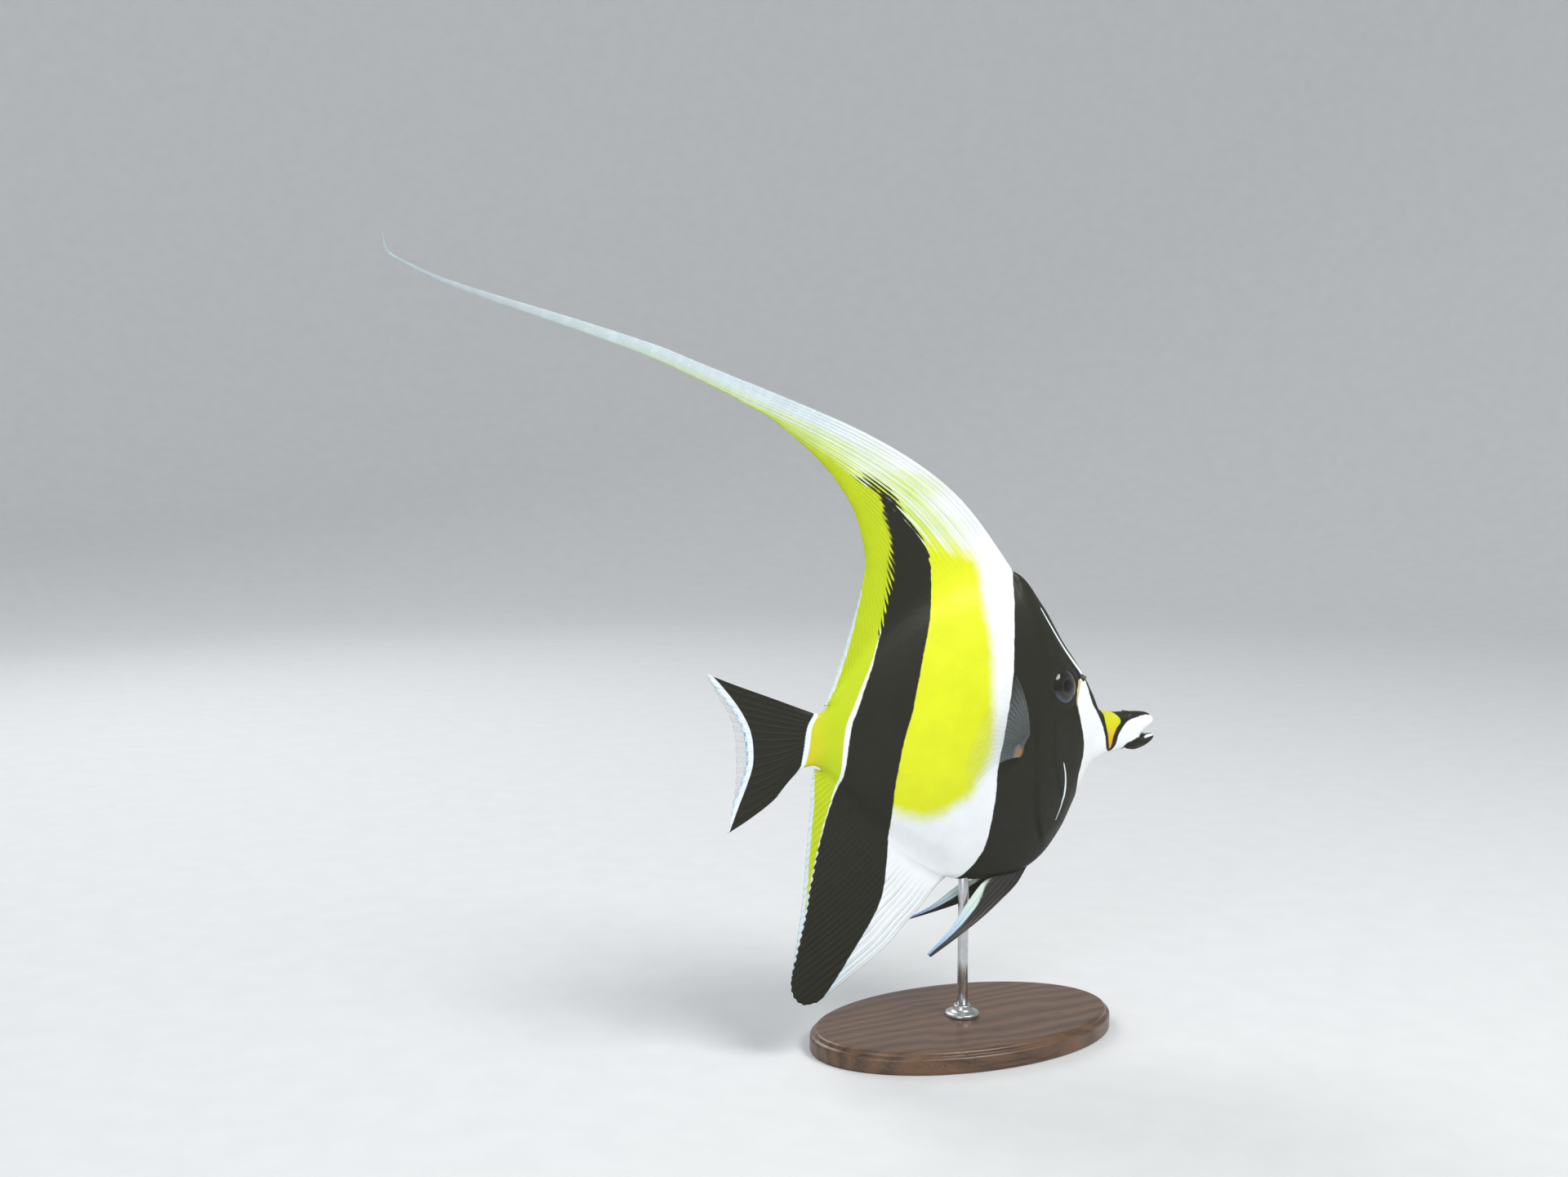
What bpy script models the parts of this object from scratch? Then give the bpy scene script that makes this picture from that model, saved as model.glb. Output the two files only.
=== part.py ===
# Moorish idol (Zanclus cornutus), a still life-size model on a small display stand.
#
# The fish swims towards +X with its left side towards +Y. The origin is the middle of
# the underside of the stand's base, which lies on the ground.
#
# The fish is drawn in millimetres in its own side plane: x forward from the tail base,
# z up from the body's axis, y to its left. An empty at the tail base carries it all.

import math

import bmesh
import bpy
import numpy as np
from mathutils import Matrix, Vector

MM = 0.001
GAP = 0.3  # room kept between pieces that touch

# Where the tail base hangs over the stand
STAND_X = 66.0
AXIS_HEIGHT = 120.0

# Stand
BASE_LENGTH = 124.0
BASE_WIDTH = 78.0
BASE_THICKNESS = 8.0
BASE_BEVEL = 1.2
BASE_SIDES = 44
ROD_RADIUS = 2.0
ROD_SINK = 6.0  # how far the rod's top stands in the belly
ROD_SIDES = 20
FOOT_RADIUS = 6.5
FOOT_HEIGHT = 4.0
FOOT_SIDES = 28

# Body, one row for each station from tail to snout.
# top x, top z, low x, low z, half thickness, half edge of back, half edge of belly, bow, fullness
STATIONS = [
    (2.6, 9.3, -2.2, -10.3, 2.3, 0.9, 0.9, 0.0, 0.55),  # tail base
    (7.2, 10.2, 4.4, -10.6, 3.2, 1.0, 1.0, 0.0, 0.65),  # rear ends of the fins
    (17.0, 22.0, 13.5, -20.5, 5.0, 1.0, 1.0, 0.0, 0.90),
    (31.0, 37.0, 27.0, -34.5, 7.7, 1.0, 1.0, 0.0, 1.05),
    (47.0, 49.0, 42.0, -48.0, 10.3, 1.1, 1.2, 1.0, 1.05),
    (66.0, 56.5, 60.0, -57.8, 12.3, 1.2, 1.9, 2.5, 0.95),  # front of the anal fin
    (86.3, 57.3, 82.5, -59.6, 13.2, 1.4, 2.4, 4.5, 0.85),  # front of the dorsal fin, gill opening
    (97.8, 45.4, 95.8, -55.5, 12.5, 1.5, 2.2, 3.0, 0.78),
    (107.2, 30.8, 105.7, -45.5, 11.1, 1.7, 2.0, 1.0, 0.73),
    (115.6, 19.4, 113.0, -32.5, 9.0, 2.0, 1.8, 0.0, 0.68),
    (120.3, 11.0, 119.0, -21.6, 7.2, 2.0, 1.7, 0.0, 0.62),
    (124.7, 2.5, 126.2, -16.8, 5.5, 1.9, 1.6, 0.0, 0.54),
    (132.4, 0.4, 132.6, -15.4, 4.6, 1.8, 1.5, 0.0, 0.50),  # root of the snout
    (138.0, 0.1, 137.7, -14.0, 4.1, 1.7, 1.4, 0.0, 0.48),
    (143.8, -0.2, 143.3, -9.6, 3.5, 1.5, 1.5, 0.0, 0.48),
    (147.6, -0.6, 147.4, -6.9, 3.1, 1.3, 1.5, 0.0, 0.48),
    (149.2, -1.2, 149.2, -6.1, 3.3, 1.2, 1.5, 0.0, 0.50),  # upper lip
    (150.6, -2.2, 150.6, -5.8, 2.7, 0.9, 1.2, 0.0, 0.50),
    (151.2, -3.4, 151.2, -4.9, 1.5, 0.5, 0.6, 0.0, 0.50),
]
ROUNDNESS = 2.2
TAIL_BASE, FIN_END, ANAL_FRONT, SHOULDER, SNOUT_ROOT = 0.0, 1.0, 5.0, 6.0, 12.0
SNOUT_TIP = 18.0

# Lower jaw, rows as in the body
LOWER_JAW = [
    (139.3, -13.5, 137.8, -15.3, 2.0, 1.0, 0.8, 0.0, 0.50),
    (142.0, -11.3, 141.2, -15.5, 2.9, 1.3, 1.1, 0.0, 0.48),
    (144.9, -9.8, 144.5, -15.1, 3.0, 1.4, 1.2, 0.0, 0.48),
    (147.6, -9.3, 147.4, -14.2, 2.8, 1.4, 1.1, 0.0, 0.48),
    (149.4, -8.8, 149.4, -13.1, 2.9, 1.3, 1.0, 0.0, 0.50),  # lower lip
    (150.7, -8.9, 150.8, -11.9, 2.3, 1.0, 0.8, 0.0, 0.50),
    (151.5, -9.5, 151.5, -10.7, 1.2, 0.5, 0.5, 0.0, 0.50),
]

# Head
EYE_X, EYE_Z = 103.6, 13.7
EYE_RADIUS = 8.0
EYE_DEPTH = 5.0  # half of the flattened ball, from side to side
EYE_PROUD = 1.7  # how far the ball stands out of the cheek
NOSTRILS = [(113.9, 13.4, 0.8), (115.9, 10.8, 0.6)]  # x, z, radius
NOSTRIL_DEPTH = 1.2
HORN_X, HORN_Z = 114.8, 15.6
HORN_RADIUS = 1.5
HORN_LENGTH = 2.5
HORN_LEAN = (0.5, 0.0, 0.15)  # added to the cheek's normal
GILL_FLAP_T = (-0.62, 0.10)  # lower and upper end of the flap, as heights on the flank
GILL_FLAP_DEPTH = 1.45  # its length forward, in stations
GILL_FLAP_LIFT = 0.95  # how far its rear edge stands up

# Fin membranes and rays: half thickness of the membrane, and how far a ray stands up
MEMBRANE = 0.27
RAY_RIDGE = 0.22
DORSAL_RAYS = 26
ANAL_RAYS = 20
CAUDAL_RAYS = 15
PECTORAL_RAYS = 12
PELVIC_RAYS = 5

# Half thickness of each fin where it meets the body
UPRIGHT_ROOT = 1.15
CAUDAL_ROOT = 1.6
PECTORAL_ROOT = 0.6
PELVIC_ROOT = 0.8

# Outlines of the fins in the side plane
DORSAL_LEAD = [(86.2, 57.8), (78.0, 68.2), (67.7, 80.5), (56.8, 90.5), (41.8, 100.5),
               (23.3, 110.1), (3.5, 118.4), (-24.2, 128.8)]
DORSAL_CUT_LOW = (-26.8, 122.2)
DORSAL_MARGIN = [DORSAL_CUT_LOW, (-19.5, 118.4), (-12.2, 114.0), (3.2, 101.9), (13.5, 90.4), (19.7, 79.3),
                 (23.1, 66.0), (21.9, 54.6), (16.5, 36.5), (10.7, 21.0), (6.5, 11.7)]
FILAMENT_SHARE = 0.17  # share of the dorsal fin's rays that run on into the filament
DORSAL_SPLIT = 29  # column of the grid where the front part ends, between two rays
ANAL_LEAD = [(58.2, -58.3), (53.0, -61.2), (48.0, -66.9), (40.5, -73.6), (32.8, -80.7),
             (17.5, -90.6), (4.0, -98.6)]
ANAL_MARGIN = [(4.0, -98.6), (-1.6, -98.7), (-5.6, -95.0), (-6.6, -88.5), (-4.6, -76.6),
               (-2.0, -58.6), (-0.5, -40.6), (1.0, -25.0), (1.3, -17.5), (2.3, -12.2)]
CAUDAL_TOP = [(2.3, 9.1), (-15.9, 16.8), (-28.5, 21.8), (-39.6, 26.6)]
CAUDAL_LOW = [(-2.5, -10.1), (-12.5, -20.4), (-22.1, -26.7), (-31.6, -31.6)]
CAUDAL_MARGIN = [(-39.6, 26.6), (-34.8, 17.5), (-31.1, 11.4), (-28.9, 3.9), (-28.3, -5.0),
                 (-28.6, -13.8), (-29.6, -21.1), (-31.6, -31.6)]

# Filament of the dorsal fin: x, z, half width, half thickness
FILAMENT = [
    (-25.5, 125.5, 3.55, 0.50),
    (-42.7, 132.6, 2.85, 0.50),
    (-58.9, 139.1, 2.35, 0.48),
    (-88.1, 148.4, 1.70, 0.44),
    (-116.0, 156.6, 1.15, 0.40),
    (-132.2, 161.9, 0.80, 0.36),
    (-143.0, 166.8, 0.62, 0.32),
    (-148.6, 170.6, 0.50, 0.28),
    (-150.2, 177.2, 0.32, 0.22),
]
FILAMENT_SWAY = 5.0  # how far its end leans to the fish's left
FILAMENT_JOINTS = [0.0, 2.5, 5.0, 8.0]  # rows where its three lengths meet

# Paired fins
PECTORAL_TOP = (85.6, -4.8)
PECTORAL_LOW = (83.4, -11.2)
PECTORAL_FIRST, PECTORAL_LAST = 22.5, 91.0  # directions of the end rays, degrees back from upright
PECTORAL_BEND = [14.0, 22.0, 26.0, 26.0, 26.0]  # degrees that five rays curve back from root to tip
PECTORAL_SPREAD = 24.0  # degrees away from the flank
PECTORAL_REACH = [31.0, 34.0, 37.0, 39.5, 39.0]  # lengths of five rays from first to last
PECTORAL_CUP = 2.0  # how far the middle of the fan bulges outwards
PELVIC_LEAD = [(93.6, -57.0), (89.1, -61.3), (86.0, -64.0), (81.8, -66.8), (71.4, -73.1), (59.8, -78.7),
               (46.8, -84.4)]
PELVIC_TRAIL = [(77.5, -60.4), (72.0, -61.5), (65.1, -67.9), (57.4, -76.0), (46.5, -83.8)]
PELVIC_ROOT_Y = 1.5
PELVIC_SPLAY = 7.5  # how far the tips stand out from the roots
FAR_PELVIC_LIFT = 12.5  # degrees that the left fin trails higher than the right one

SIDES = {"right": -1, "left": 1}


# Curves and surfaces

def smooth_rows(rows, u):
    """Rows of numbers joined by a Catmull-Rom spline and read at the places u."""
    rows = np.asarray(rows, float)
    first, last = 2 * rows[0] - rows[1], 2 * rows[-1] - rows[-2]
    padded = np.vstack([first, rows, last])
    u = np.clip(np.asarray(u, float), 0, len(rows) - 1)
    i = np.minimum(u.astype(int), len(rows) - 2)
    f = (u - i)[..., None]
    a, b, c, d = (padded[i + k] for k in range(4))
    return b + 0.5 * f * (c - a + f * (2 * a - 5 * b + 4 * c - d + f * (3 * (b - c) + d - a)))


def along(points, share):
    """Points of a smooth curve at shares of its length."""
    fine = smooth_rows(points, np.linspace(0, len(points) - 1, 40 * len(points)))
    reach = np.concatenate([[0], np.cumsum(np.linalg.norm(np.diff(fine, axis=0), axis=1))])
    share = np.asarray(share, float) * reach[-1]
    return np.stack([np.interp(share, reach, fine[:, k]) for k in range(fine.shape[1])], axis=-1)


def coons(base, margin, lead, last):
    """Grid between four edges that meet at their corners: base and margin by lead and last."""
    u = np.linspace(0, 1, len(base))[:, None, None]
    v = np.linspace(0, 1, len(lead))[None, :, None]
    ruled = (1 - v) * base[:, None] + v * margin[:, None] + (1 - u) * lead[None] + u * last[None]
    near = (1 - v) * base[0] + v * margin[0]
    far = (1 - v) * base[-1] + v * margin[-1]
    return ruled - (1 - u) * near - u * far


def section(rows, u, t):
    """Side-plane place and half thickness at station u and height t, -1 belly to 1 back."""
    row = smooth_rows(rows, u)
    share = (t + 1) / 2
    x = row[..., 2] + (row[..., 0] - row[..., 2]) * share + row[..., 7] * (1 - t * t)
    z = row[..., 3] + (row[..., 1] - row[..., 3]) * share
    edge = row[..., 6] + (row[..., 5] - row[..., 6]) * share
    swell = (1 - np.abs(t) ** ROUNDNESS).clip(0) ** row[..., 8]
    return np.stack([x, edge + (row[..., 4] - edge) * swell, z], axis=-1)


def flank(u, t, side):
    """Point of the body's skin on one side."""
    return section(STATIONS, np.asarray(u, float), np.asarray(t, float)) * (1, side, 1)


def flank_place(x, z, side):
    """Skin point under the side-plane place x, z, with its outward normal, by Newton steps."""
    u, t = 9.0, 0.0  # middle of the cheek
    step = 0.01
    for _ in range(30):
        here = flank(u, t, side)
        across = (flank(u + step, t, side) - here) / step
        upward = (flank(u, t + step, side) - here) / step
        matrix = np.array([[across[0], upward[0]], [across[2], upward[2]]])
        du, dt = np.linalg.solve(matrix, (x - here[0], z - here[2]))
        u, t = u + du, float(np.clip(t + dt, -0.98, 0.98))
    normal = np.cross(across, upward)
    normal *= side * np.sign(normal[1]) / np.linalg.norm(normal)
    return here, normal


# Objects

def remove_everything():
    for old in list(bpy.data.objects):
        bpy.data.objects.remove(old)


def material(name, colour, roughness, metallic=0.0):
    made = bpy.data.materials.new(name)
    made.use_nodes = True
    shader = made.node_tree.nodes["Principled BSDF"]
    shader.inputs["Base Color"].default_value = (*colour, 1.0)
    shader.inputs["Roughness"].default_value = roughness
    shader.inputs["Metallic"].default_value = metallic
    return made


def make_object(name, vertices, faces, finish, parent=None):
    """Mesh object from vertices in millimetres, shaded smooth but for its sharp edges."""
    mesh = bpy.data.meshes.new(name)
    mesh.from_pydata((np.asarray(vertices) * MM).tolist(), [], np.asarray(faces).tolist())
    mesh.validate()
    mesh.shade_smooth()
    mesh.set_sharp_from_angle(angle=math.radians(40))
    made = bpy.data.objects.new(name, mesh)
    made.data.materials.append(finish)
    made.parent = parent
    bpy.context.scene.collection.objects.link(made)
    return made


def cut_away(target, cutter):
    cutter.hide_render = True
    cutter.display_type = "WIRE"
    modifier = target.modifiers.new("cut " + cutter.name, "BOOLEAN")
    modifier.operation = "DIFFERENCE"
    modifier.object = cutter


def grid_faces(rows, columns, start=0, flip=False):
    """Triangles of a grid whose vertices are numbered row by row from start."""
    corner = start + np.arange(rows * columns).reshape(rows, columns)
    a, b = corner[:-1, :-1].ravel(), corner[1:, :-1].ravel()
    c, d = corner[1:, 1:].ravel(), corner[:-1, 1:].ravel()
    faces = np.concatenate([np.stack([a, b, c], 1), np.stack([a, c, d], 1)])
    return faces[:, ::-1] if flip else faces


def rim(rows, columns):
    """Numbers of a grid's outermost vertices, in order round it."""
    corner = np.arange(rows * columns).reshape(rows, columns)
    return np.concatenate([corner[:-1, 0], corner[-1, :-1], corner[:0:-1, -1], corner[0, :0:-1]])


def plate(middle, offset):
    """Closed plate: a grid of middle points moved both ways by the offset, with walls round the rim."""
    rows, columns = middle.shape[:2]
    count = rows * columns
    vertices = np.concatenate([(middle - offset).reshape(-1, 3), (middle + offset).reshape(-1, 3)])
    edge = rim(rows, columns)
    after = np.roll(edge, -1)
    walls = np.concatenate([np.stack([edge, after + count, after], 1),
                            np.stack([edge, edge + count, after + count], 1)])
    faces = np.concatenate([grid_faces(rows, columns), grid_faces(rows, columns, count, True), walls])
    return outward(vertices, faces)


def outward(vertices, faces):
    """The faces turned, if need be, so that the closed surface holds a positive volume."""
    corners = vertices[faces]
    volume = np.einsum("ij,ij->i", corners[:, 0], np.cross(corners[:, 1], corners[:, 2])).sum()
    return vertices, faces if volume > 0 else faces[:, ::-1]


def length_of_body(rows, u_values, points_round, rear_shift=0.0, front_shift=0.0):
    """Closed length of the body between two stations, its ends moved in x to leave a gap."""
    t = np.cos(np.pi * np.arange(points_round + 1) / points_round)
    u = np.repeat(np.asarray(u_values)[:, None], len(t), axis=1)
    right = section(rows, u, np.broadcast_to(t, u.shape))
    right[0, :, 0] += rear_shift
    right[-1, :, 0] += front_shift
    middle = right * (1, 0, 1)
    return plate(middle, right * (0, 1, 0))


def finish_colours():
    return {
        "yellow": material("lemon_yellow_skin", (0.75, 0.80, 0.05), 0.45),
        "black": material("black_skin", (0.012, 0.011, 0.010), 0.45),
        "white": material("white_skin", (0.80, 0.84, 0.86), 0.45),
        "eye": material("dark_eye", (0.010, 0.010, 0.012), 0.12),
        "clear": material("clear_fin", (0.42, 0.46, 0.48), 0.40),
        "base": material("dark_wood_base", (0.060, 0.035, 0.022), 0.40),
        "rod": material("steel_rod", (0.60, 0.61, 0.62), 0.30, 1.0),
    }


# Flesh

def body_nodes(finish, carrier):
    half = GAP / 2
    trunk_u = np.concatenate([np.linspace(FIN_END, 2, 4), np.linspace(2, SHOULDER, 13)[1:]])
    make_object("peduncle", *length_of_body(STATIONS, np.linspace(TAIL_BASE, FIN_END, 4), 10, 0, -half),
                finish["yellow"], carrier)
    trunk = make_object("trunk", *length_of_body(STATIONS, trunk_u, 16, half, -half),
                        finish["yellow"], carrier)
    head_u = np.linspace(SHOULDER, SNOUT_ROOT, 19)
    head = make_object("head", *length_of_body(STATIONS, head_u, 16, half, -half), finish["black"], carrier)
    snout_u = np.concatenate([np.linspace(SNOUT_ROOT, 15, 7), np.arange(15.5, SNOUT_TIP + 0.1, 0.5)])
    make_object("snout", *length_of_body(STATIONS, snout_u, 8, half, 0), finish["white"], carrier)
    jaw_u = np.arange(0, len(LOWER_JAW) - 0.5, 0.5)
    make_object("lower_jaw", *length_of_body(LOWER_JAW, jaw_u, 8), finish["black"], carrier)
    return trunk, head


def ball(name, place, normal, radius, depth, finish, carrier):
    """Flattened ball whose short axis lies along the normal."""
    shape = bmesh.new()
    bmesh.ops.create_uvsphere(shape, u_segments=24, v_segments=12, radius=1.0)
    bmesh.ops.triangulate(shape, faces=shape.faces)
    turn = Vector((0, 0, 1)).rotation_difference(Vector(normal)).to_matrix().to_4x4()
    size = Matrix.Diagonal((radius * MM, radius * MM, depth * MM, 1))
    mesh = bpy.data.meshes.new(name)
    shape.transform(turn @ size)
    shape.to_mesh(mesh)
    shape.free()
    mesh.shade_smooth()
    made = bpy.data.objects.new(name, mesh)
    made.data.materials.append(finish)
    made.parent = carrier
    made.location = Vector(place) * MM
    bpy.context.scene.collection.objects.link(made)
    return made


def peg(name, place, axis, radius, length, sides, finish, carrier):
    """Round peg that stands on a place along an axis."""
    shape = bmesh.new()
    bmesh.ops.create_cone(shape, cap_ends=True, cap_tris=True, segments=sides,
                          radius1=radius * MM, radius2=radius * MM, depth=length * MM)
    bmesh.ops.triangulate(shape, faces=shape.faces)
    turn = Vector((0, 0, 1)).rotation_difference(Vector(axis)).to_matrix().to_4x4()
    shape.transform(turn @ Matrix.Translation((0, 0, length * MM / 2)))
    mesh = bpy.data.meshes.new(name)
    shape.to_mesh(mesh)
    shape.free()
    mesh.shade_smooth()
    mesh.set_sharp_from_angle(angle=math.radians(40))
    made = bpy.data.objects.new(name, mesh)
    made.data.materials.append(finish)
    made.parent = carrier
    made.location = Vector(place) * MM
    bpy.context.scene.collection.objects.link(made)
    return made


def eyes_and_nostrils(head, finish, carrier):
    for side_name, side in SIDES.items():
        place, normal = flank_place(EYE_X, EYE_Z, side)
        centre = place + normal * (EYE_PROUD - EYE_DEPTH)
        ball("eye_" + side_name, centre, normal, EYE_RADIUS, EYE_DEPTH, finish["eye"], carrier)
        socket = ball("socket_" + side_name, centre, normal, EYE_RADIUS + GAP, EYE_DEPTH + GAP,
                      finish["black"], carrier)
        cut_away(head, socket)
        for number, (x, z, radius) in enumerate(NOSTRILS):
            place, normal = flank_place(x, z, side)
            bottom = place - normal * NOSTRIL_DEPTH
            cutter = peg(f"nostril_{side_name}_{number}", bottom, normal, radius, 2 * NOSTRIL_DEPTH, 8,
                         finish["black"], carrier)
            cut_away(head, cutter)


def horns(finish, carrier):
    """Small bony spine in front of each eye, leaning forward and out."""
    sides, rings = 10, 5
    for side_name, side in SIDES.items():
        place, normal = flank_place(HORN_X, HORN_Z, side)
        lean = normal + np.array(HORN_LEAN)
        lean /= np.linalg.norm(lean)
        turn = 2 * np.pi * np.arange(sides) / sides
        across = np.cross(normal, (0, 0, 1))
        across /= np.linalg.norm(across)
        upward = np.cross(across, normal)
        ring = np.cos(turn)[:, None] * across + np.sin(turn)[:, None] * upward
        vertices = [place + normal * GAP]
        for k in range(rings):
            share = k / rings
            way = normal * share * (1 - share) + lean * share ** 2
            centre = place + normal * GAP + way * HORN_LENGTH
            vertices.extend(centre + ring * HORN_RADIUS * (1 - 0.85 * share))
        vertices.append(place + normal * GAP + lean * HORN_LENGTH)
        tip = len(vertices) - 1
        faces = []
        for j in range(sides):
            k = (j + 1) % sides
            faces.append((0, 1 + k, 1 + j))
            faces.append((tip, tip - sides + j, tip - sides + k))
            for r in range(rings - 1):
                a, b = 1 + r * sides + j, 1 + r * sides + k
                faces.append((a, b, b + sides))
                faces.append((a, b + sides, a + sides))
        shape = outward(np.array(vertices), np.array(faces))
        make_object("horn_" + side_name, *shape, finish["black"], carrier)


def gill_covers(finish, carrier):
    """Flap over each gill opening: thin in front, standing up along its rear and lower edge."""
    t = np.linspace(*GILL_FLAP_T, 13)
    round_off = np.sqrt(1 - (0.93 * np.linspace(-1, 1, len(t))) ** 2)
    share = np.array([0.0, 0.06, 0.16, 0.32, 0.55, 0.78, 1.0])
    rear = SHOULDER + 0.15 - 0.25 * round_off
    u = rear[:, None] + GILL_FLAP_DEPTH * round_off[:, None] * share
    lift = GILL_FLAP_LIFT * np.interp(share, [0, 0.06, 0.32, 1], [0.45, 1.0, 0.8, 0.3])
    for side_name, side in SIDES.items():
        skin = flank(u, np.broadcast_to(t[:, None], u.shape), side)
        inner = skin + np.array([0, side * (GAP + 0.1), 0])
        outer = inner + np.array([0, side, 0]) * lift[None, :, None]
        make_object("gill_cover_" + side_name, *plate((inner + outer) / 2, (outer - inner) / 2),
                    finish["black"], carrier)


# Fins

def ray_relief(rays, rows, root):
    """Half thickness over a fin: the root's at the base, then a membrane with a ridge along each ray."""
    v = np.linspace(0, 1, rows)[None, :]
    ridge = (np.arange(2 * rays + 1) % 2 == 0)[:, None] * RAY_RIDGE * (1 - 0.6 * v)
    blend = np.clip(1 - v / 0.3, 0, 1) ** 1.5
    return MEMBRANE + ridge + (root - MEMBRANE - ridge) * blend


def fin_grid(base, margin, lead, last, rows):
    """Side-plane grid of a fin from its four edges."""
    v = np.linspace(0, 1, rows)
    return coons(base, margin, along(lead, v), along(last, v))


def fan_grid(base, margin, lead, rows):
    """Side-plane grid of an upright fin: each ray bends as the leading edge does, less towards the last."""
    v = np.linspace(0, 1, rows)[:, None]
    edge = along(lead, v[:, 0])
    chord = edge[-1] - edge[0]
    bend = (edge - edge[0] - v * chord) / (chord @ chord)
    ahead = (bend @ chord)[:, None]
    aside = (bend @ (-chord[1], chord[0]))[:, None]
    ray = (margin - base)[:, None]
    turned = np.stack([-ray[..., 1], ray[..., 0]], axis=-1)
    strength = np.linspace(1, 0, len(base))[:, None, None]
    return base[:, None] + ray * v + strength * (ray * ahead + turned * aside)


def upright_fin(name, flat, thick, finish, carrier):
    """Fin in the middle plane from its side-plane grid and half thickness."""
    middle = np.stack([flat[..., 0], np.zeros(thick.shape), flat[..., 1]], axis=-1)
    offset = np.zeros_like(middle)
    offset[..., 1] = thick
    make_object(name, *plate(middle, offset), finish, carrier)


def edge_of_body(u, top):
    """Back or belly outline at stations u, moved out by the gap."""
    row = smooth_rows(STATIONS, u)
    line = row[:, :2] if top else row[:, 2:4]
    run = np.gradient(line, axis=0)
    out = np.stack([-run[:, 1], run[:, 0]], axis=1) / np.linalg.norm(run, axis=1)[:, None]
    return line + out * GAP * np.sign(out[:, 1:]) * (1 if top else -1)


def dorsal_fin(finish, carrier):
    """The fin in two parts, front and rear, that meet between two rays where its margin turns."""
    rows = 12
    share = np.linspace(0, 1, 2 * DORSAL_RAYS + 1)
    base = edge_of_body(SHOULDER + (FIN_END + 0.2 - SHOULDER) * share, True)
    cut = np.clip(share / FILAMENT_SHARE, 0, 1)[:, None]
    cut_line = np.array(DORSAL_LEAD[-1]) * (1 - cut) + np.array(DORSAL_CUT_LOW) * cut
    free = np.clip((share - FILAMENT_SHARE) / (1 - FILAMENT_SHARE), 0, 1)
    margin = np.where(share[:, None] < FILAMENT_SHARE, cut_line, along(DORSAL_MARGIN, free))
    lead = [tuple(base[0])] + DORSAL_LEAD[1:]
    flat = fan_grid(base, margin, lead, rows)
    thick = ray_relief(DORSAL_RAYS, rows, UPRIGHT_ROOT)
    front, rear = flat[:DORSAL_SPLIT + 1].copy(), flat[DORSAL_SPLIT:].copy()
    across = flat[DORSAL_SPLIT + 1] - flat[DORSAL_SPLIT - 1]
    across *= GAP / 2 / np.linalg.norm(across, axis=1, keepdims=True)
    front[-1] -= across
    rear[0] += across
    upright_fin("dorsal_fin_front", front, thick[:DORSAL_SPLIT + 1], finish["white"], carrier)
    upright_fin("dorsal_fin_rear", rear, thick[DORSAL_SPLIT:], finish["yellow"], carrier)


def dorsal_filament(finish, carrier):
    """The drawn-out spine of the dorsal fin, a flat streamer in three lengths."""
    across = np.array([-1.0, -0.5, 0.0, 0.5, 1.0])
    swell = np.array([0.6, 0.75, 1.0, 0.75, 0.6])
    steps = [9, 9, 12]
    for number in range(3):
        u = np.linspace(FILAMENT_JOINTS[number], FILAMENT_JOINTS[number + 1], steps[number])
        row = smooth_rows(FILAMENT, u)
        run = (smooth_rows(FILAMENT, u + 0.02) - smooth_rows(FILAMENT, u - 0.02))[:, :2]
        run /= np.linalg.norm(run, axis=1)[:, None]
        centre = row[:, :2].copy()
        centre[0] += run[0] * GAP * (1.0 if number == 0 else 0.5)
        if number < 2:
            centre[-1] -= run[-1] * GAP * 0.5
        side = np.stack([run[:, 1], -run[:, 0]], axis=1)
        flat = centre[:, None] + side[:, None] * row[:, 2][:, None, None] * across[None, :, None]
        lean = FILAMENT_SWAY * (u / FILAMENT_JOINTS[-1])[:, None] ** 2 * np.ones(len(across))
        middle = np.stack([flat[..., 0], lean, flat[..., 1]], axis=-1)
        offset = np.zeros_like(middle)
        offset[..., 1] = row[:, 3][:, None] * swell
        make_object(f"dorsal_filament_{number + 1}", *plate(middle, offset), finish["white"], carrier)


def anal_fin(finish, carrier):
    rows = 10
    share = np.linspace(0, 1, 2 * ANAL_RAYS + 1)
    base = edge_of_body(ANAL_FRONT - 0.1 + (FIN_END + 0.3 - ANAL_FRONT) * share, False)
    margin = along(ANAL_MARGIN, share)
    lead = [tuple(base[0])] + ANAL_LEAD[1:]
    flat = fan_grid(base, margin, lead, rows)
    upright_fin("anal_fin", flat, ray_relief(ANAL_RAYS, rows, UPRIGHT_ROOT), finish["black"], carrier)


def caudal_fin(finish, carrier):
    rows = 8
    share = np.linspace(0, 1, 2 * CAUDAL_RAYS + 1)
    row = smooth_rows(STATIONS, np.array([TAIL_BASE]))[0]
    base = row[:2] * (1 - share[:, None]) + row[2:4] * share[:, None] - (GAP, 0)
    margin = along(CAUDAL_MARGIN, share)
    flat = fin_grid(base, margin, [tuple(base[0])] + CAUDAL_TOP[1:], [tuple(base[-1])] + CAUDAL_LOW[1:], rows)
    upright_fin("caudal_fin", flat, ray_relief(CAUDAL_RAYS, rows, CAUDAL_ROOT), finish["black"], carrier)


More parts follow.
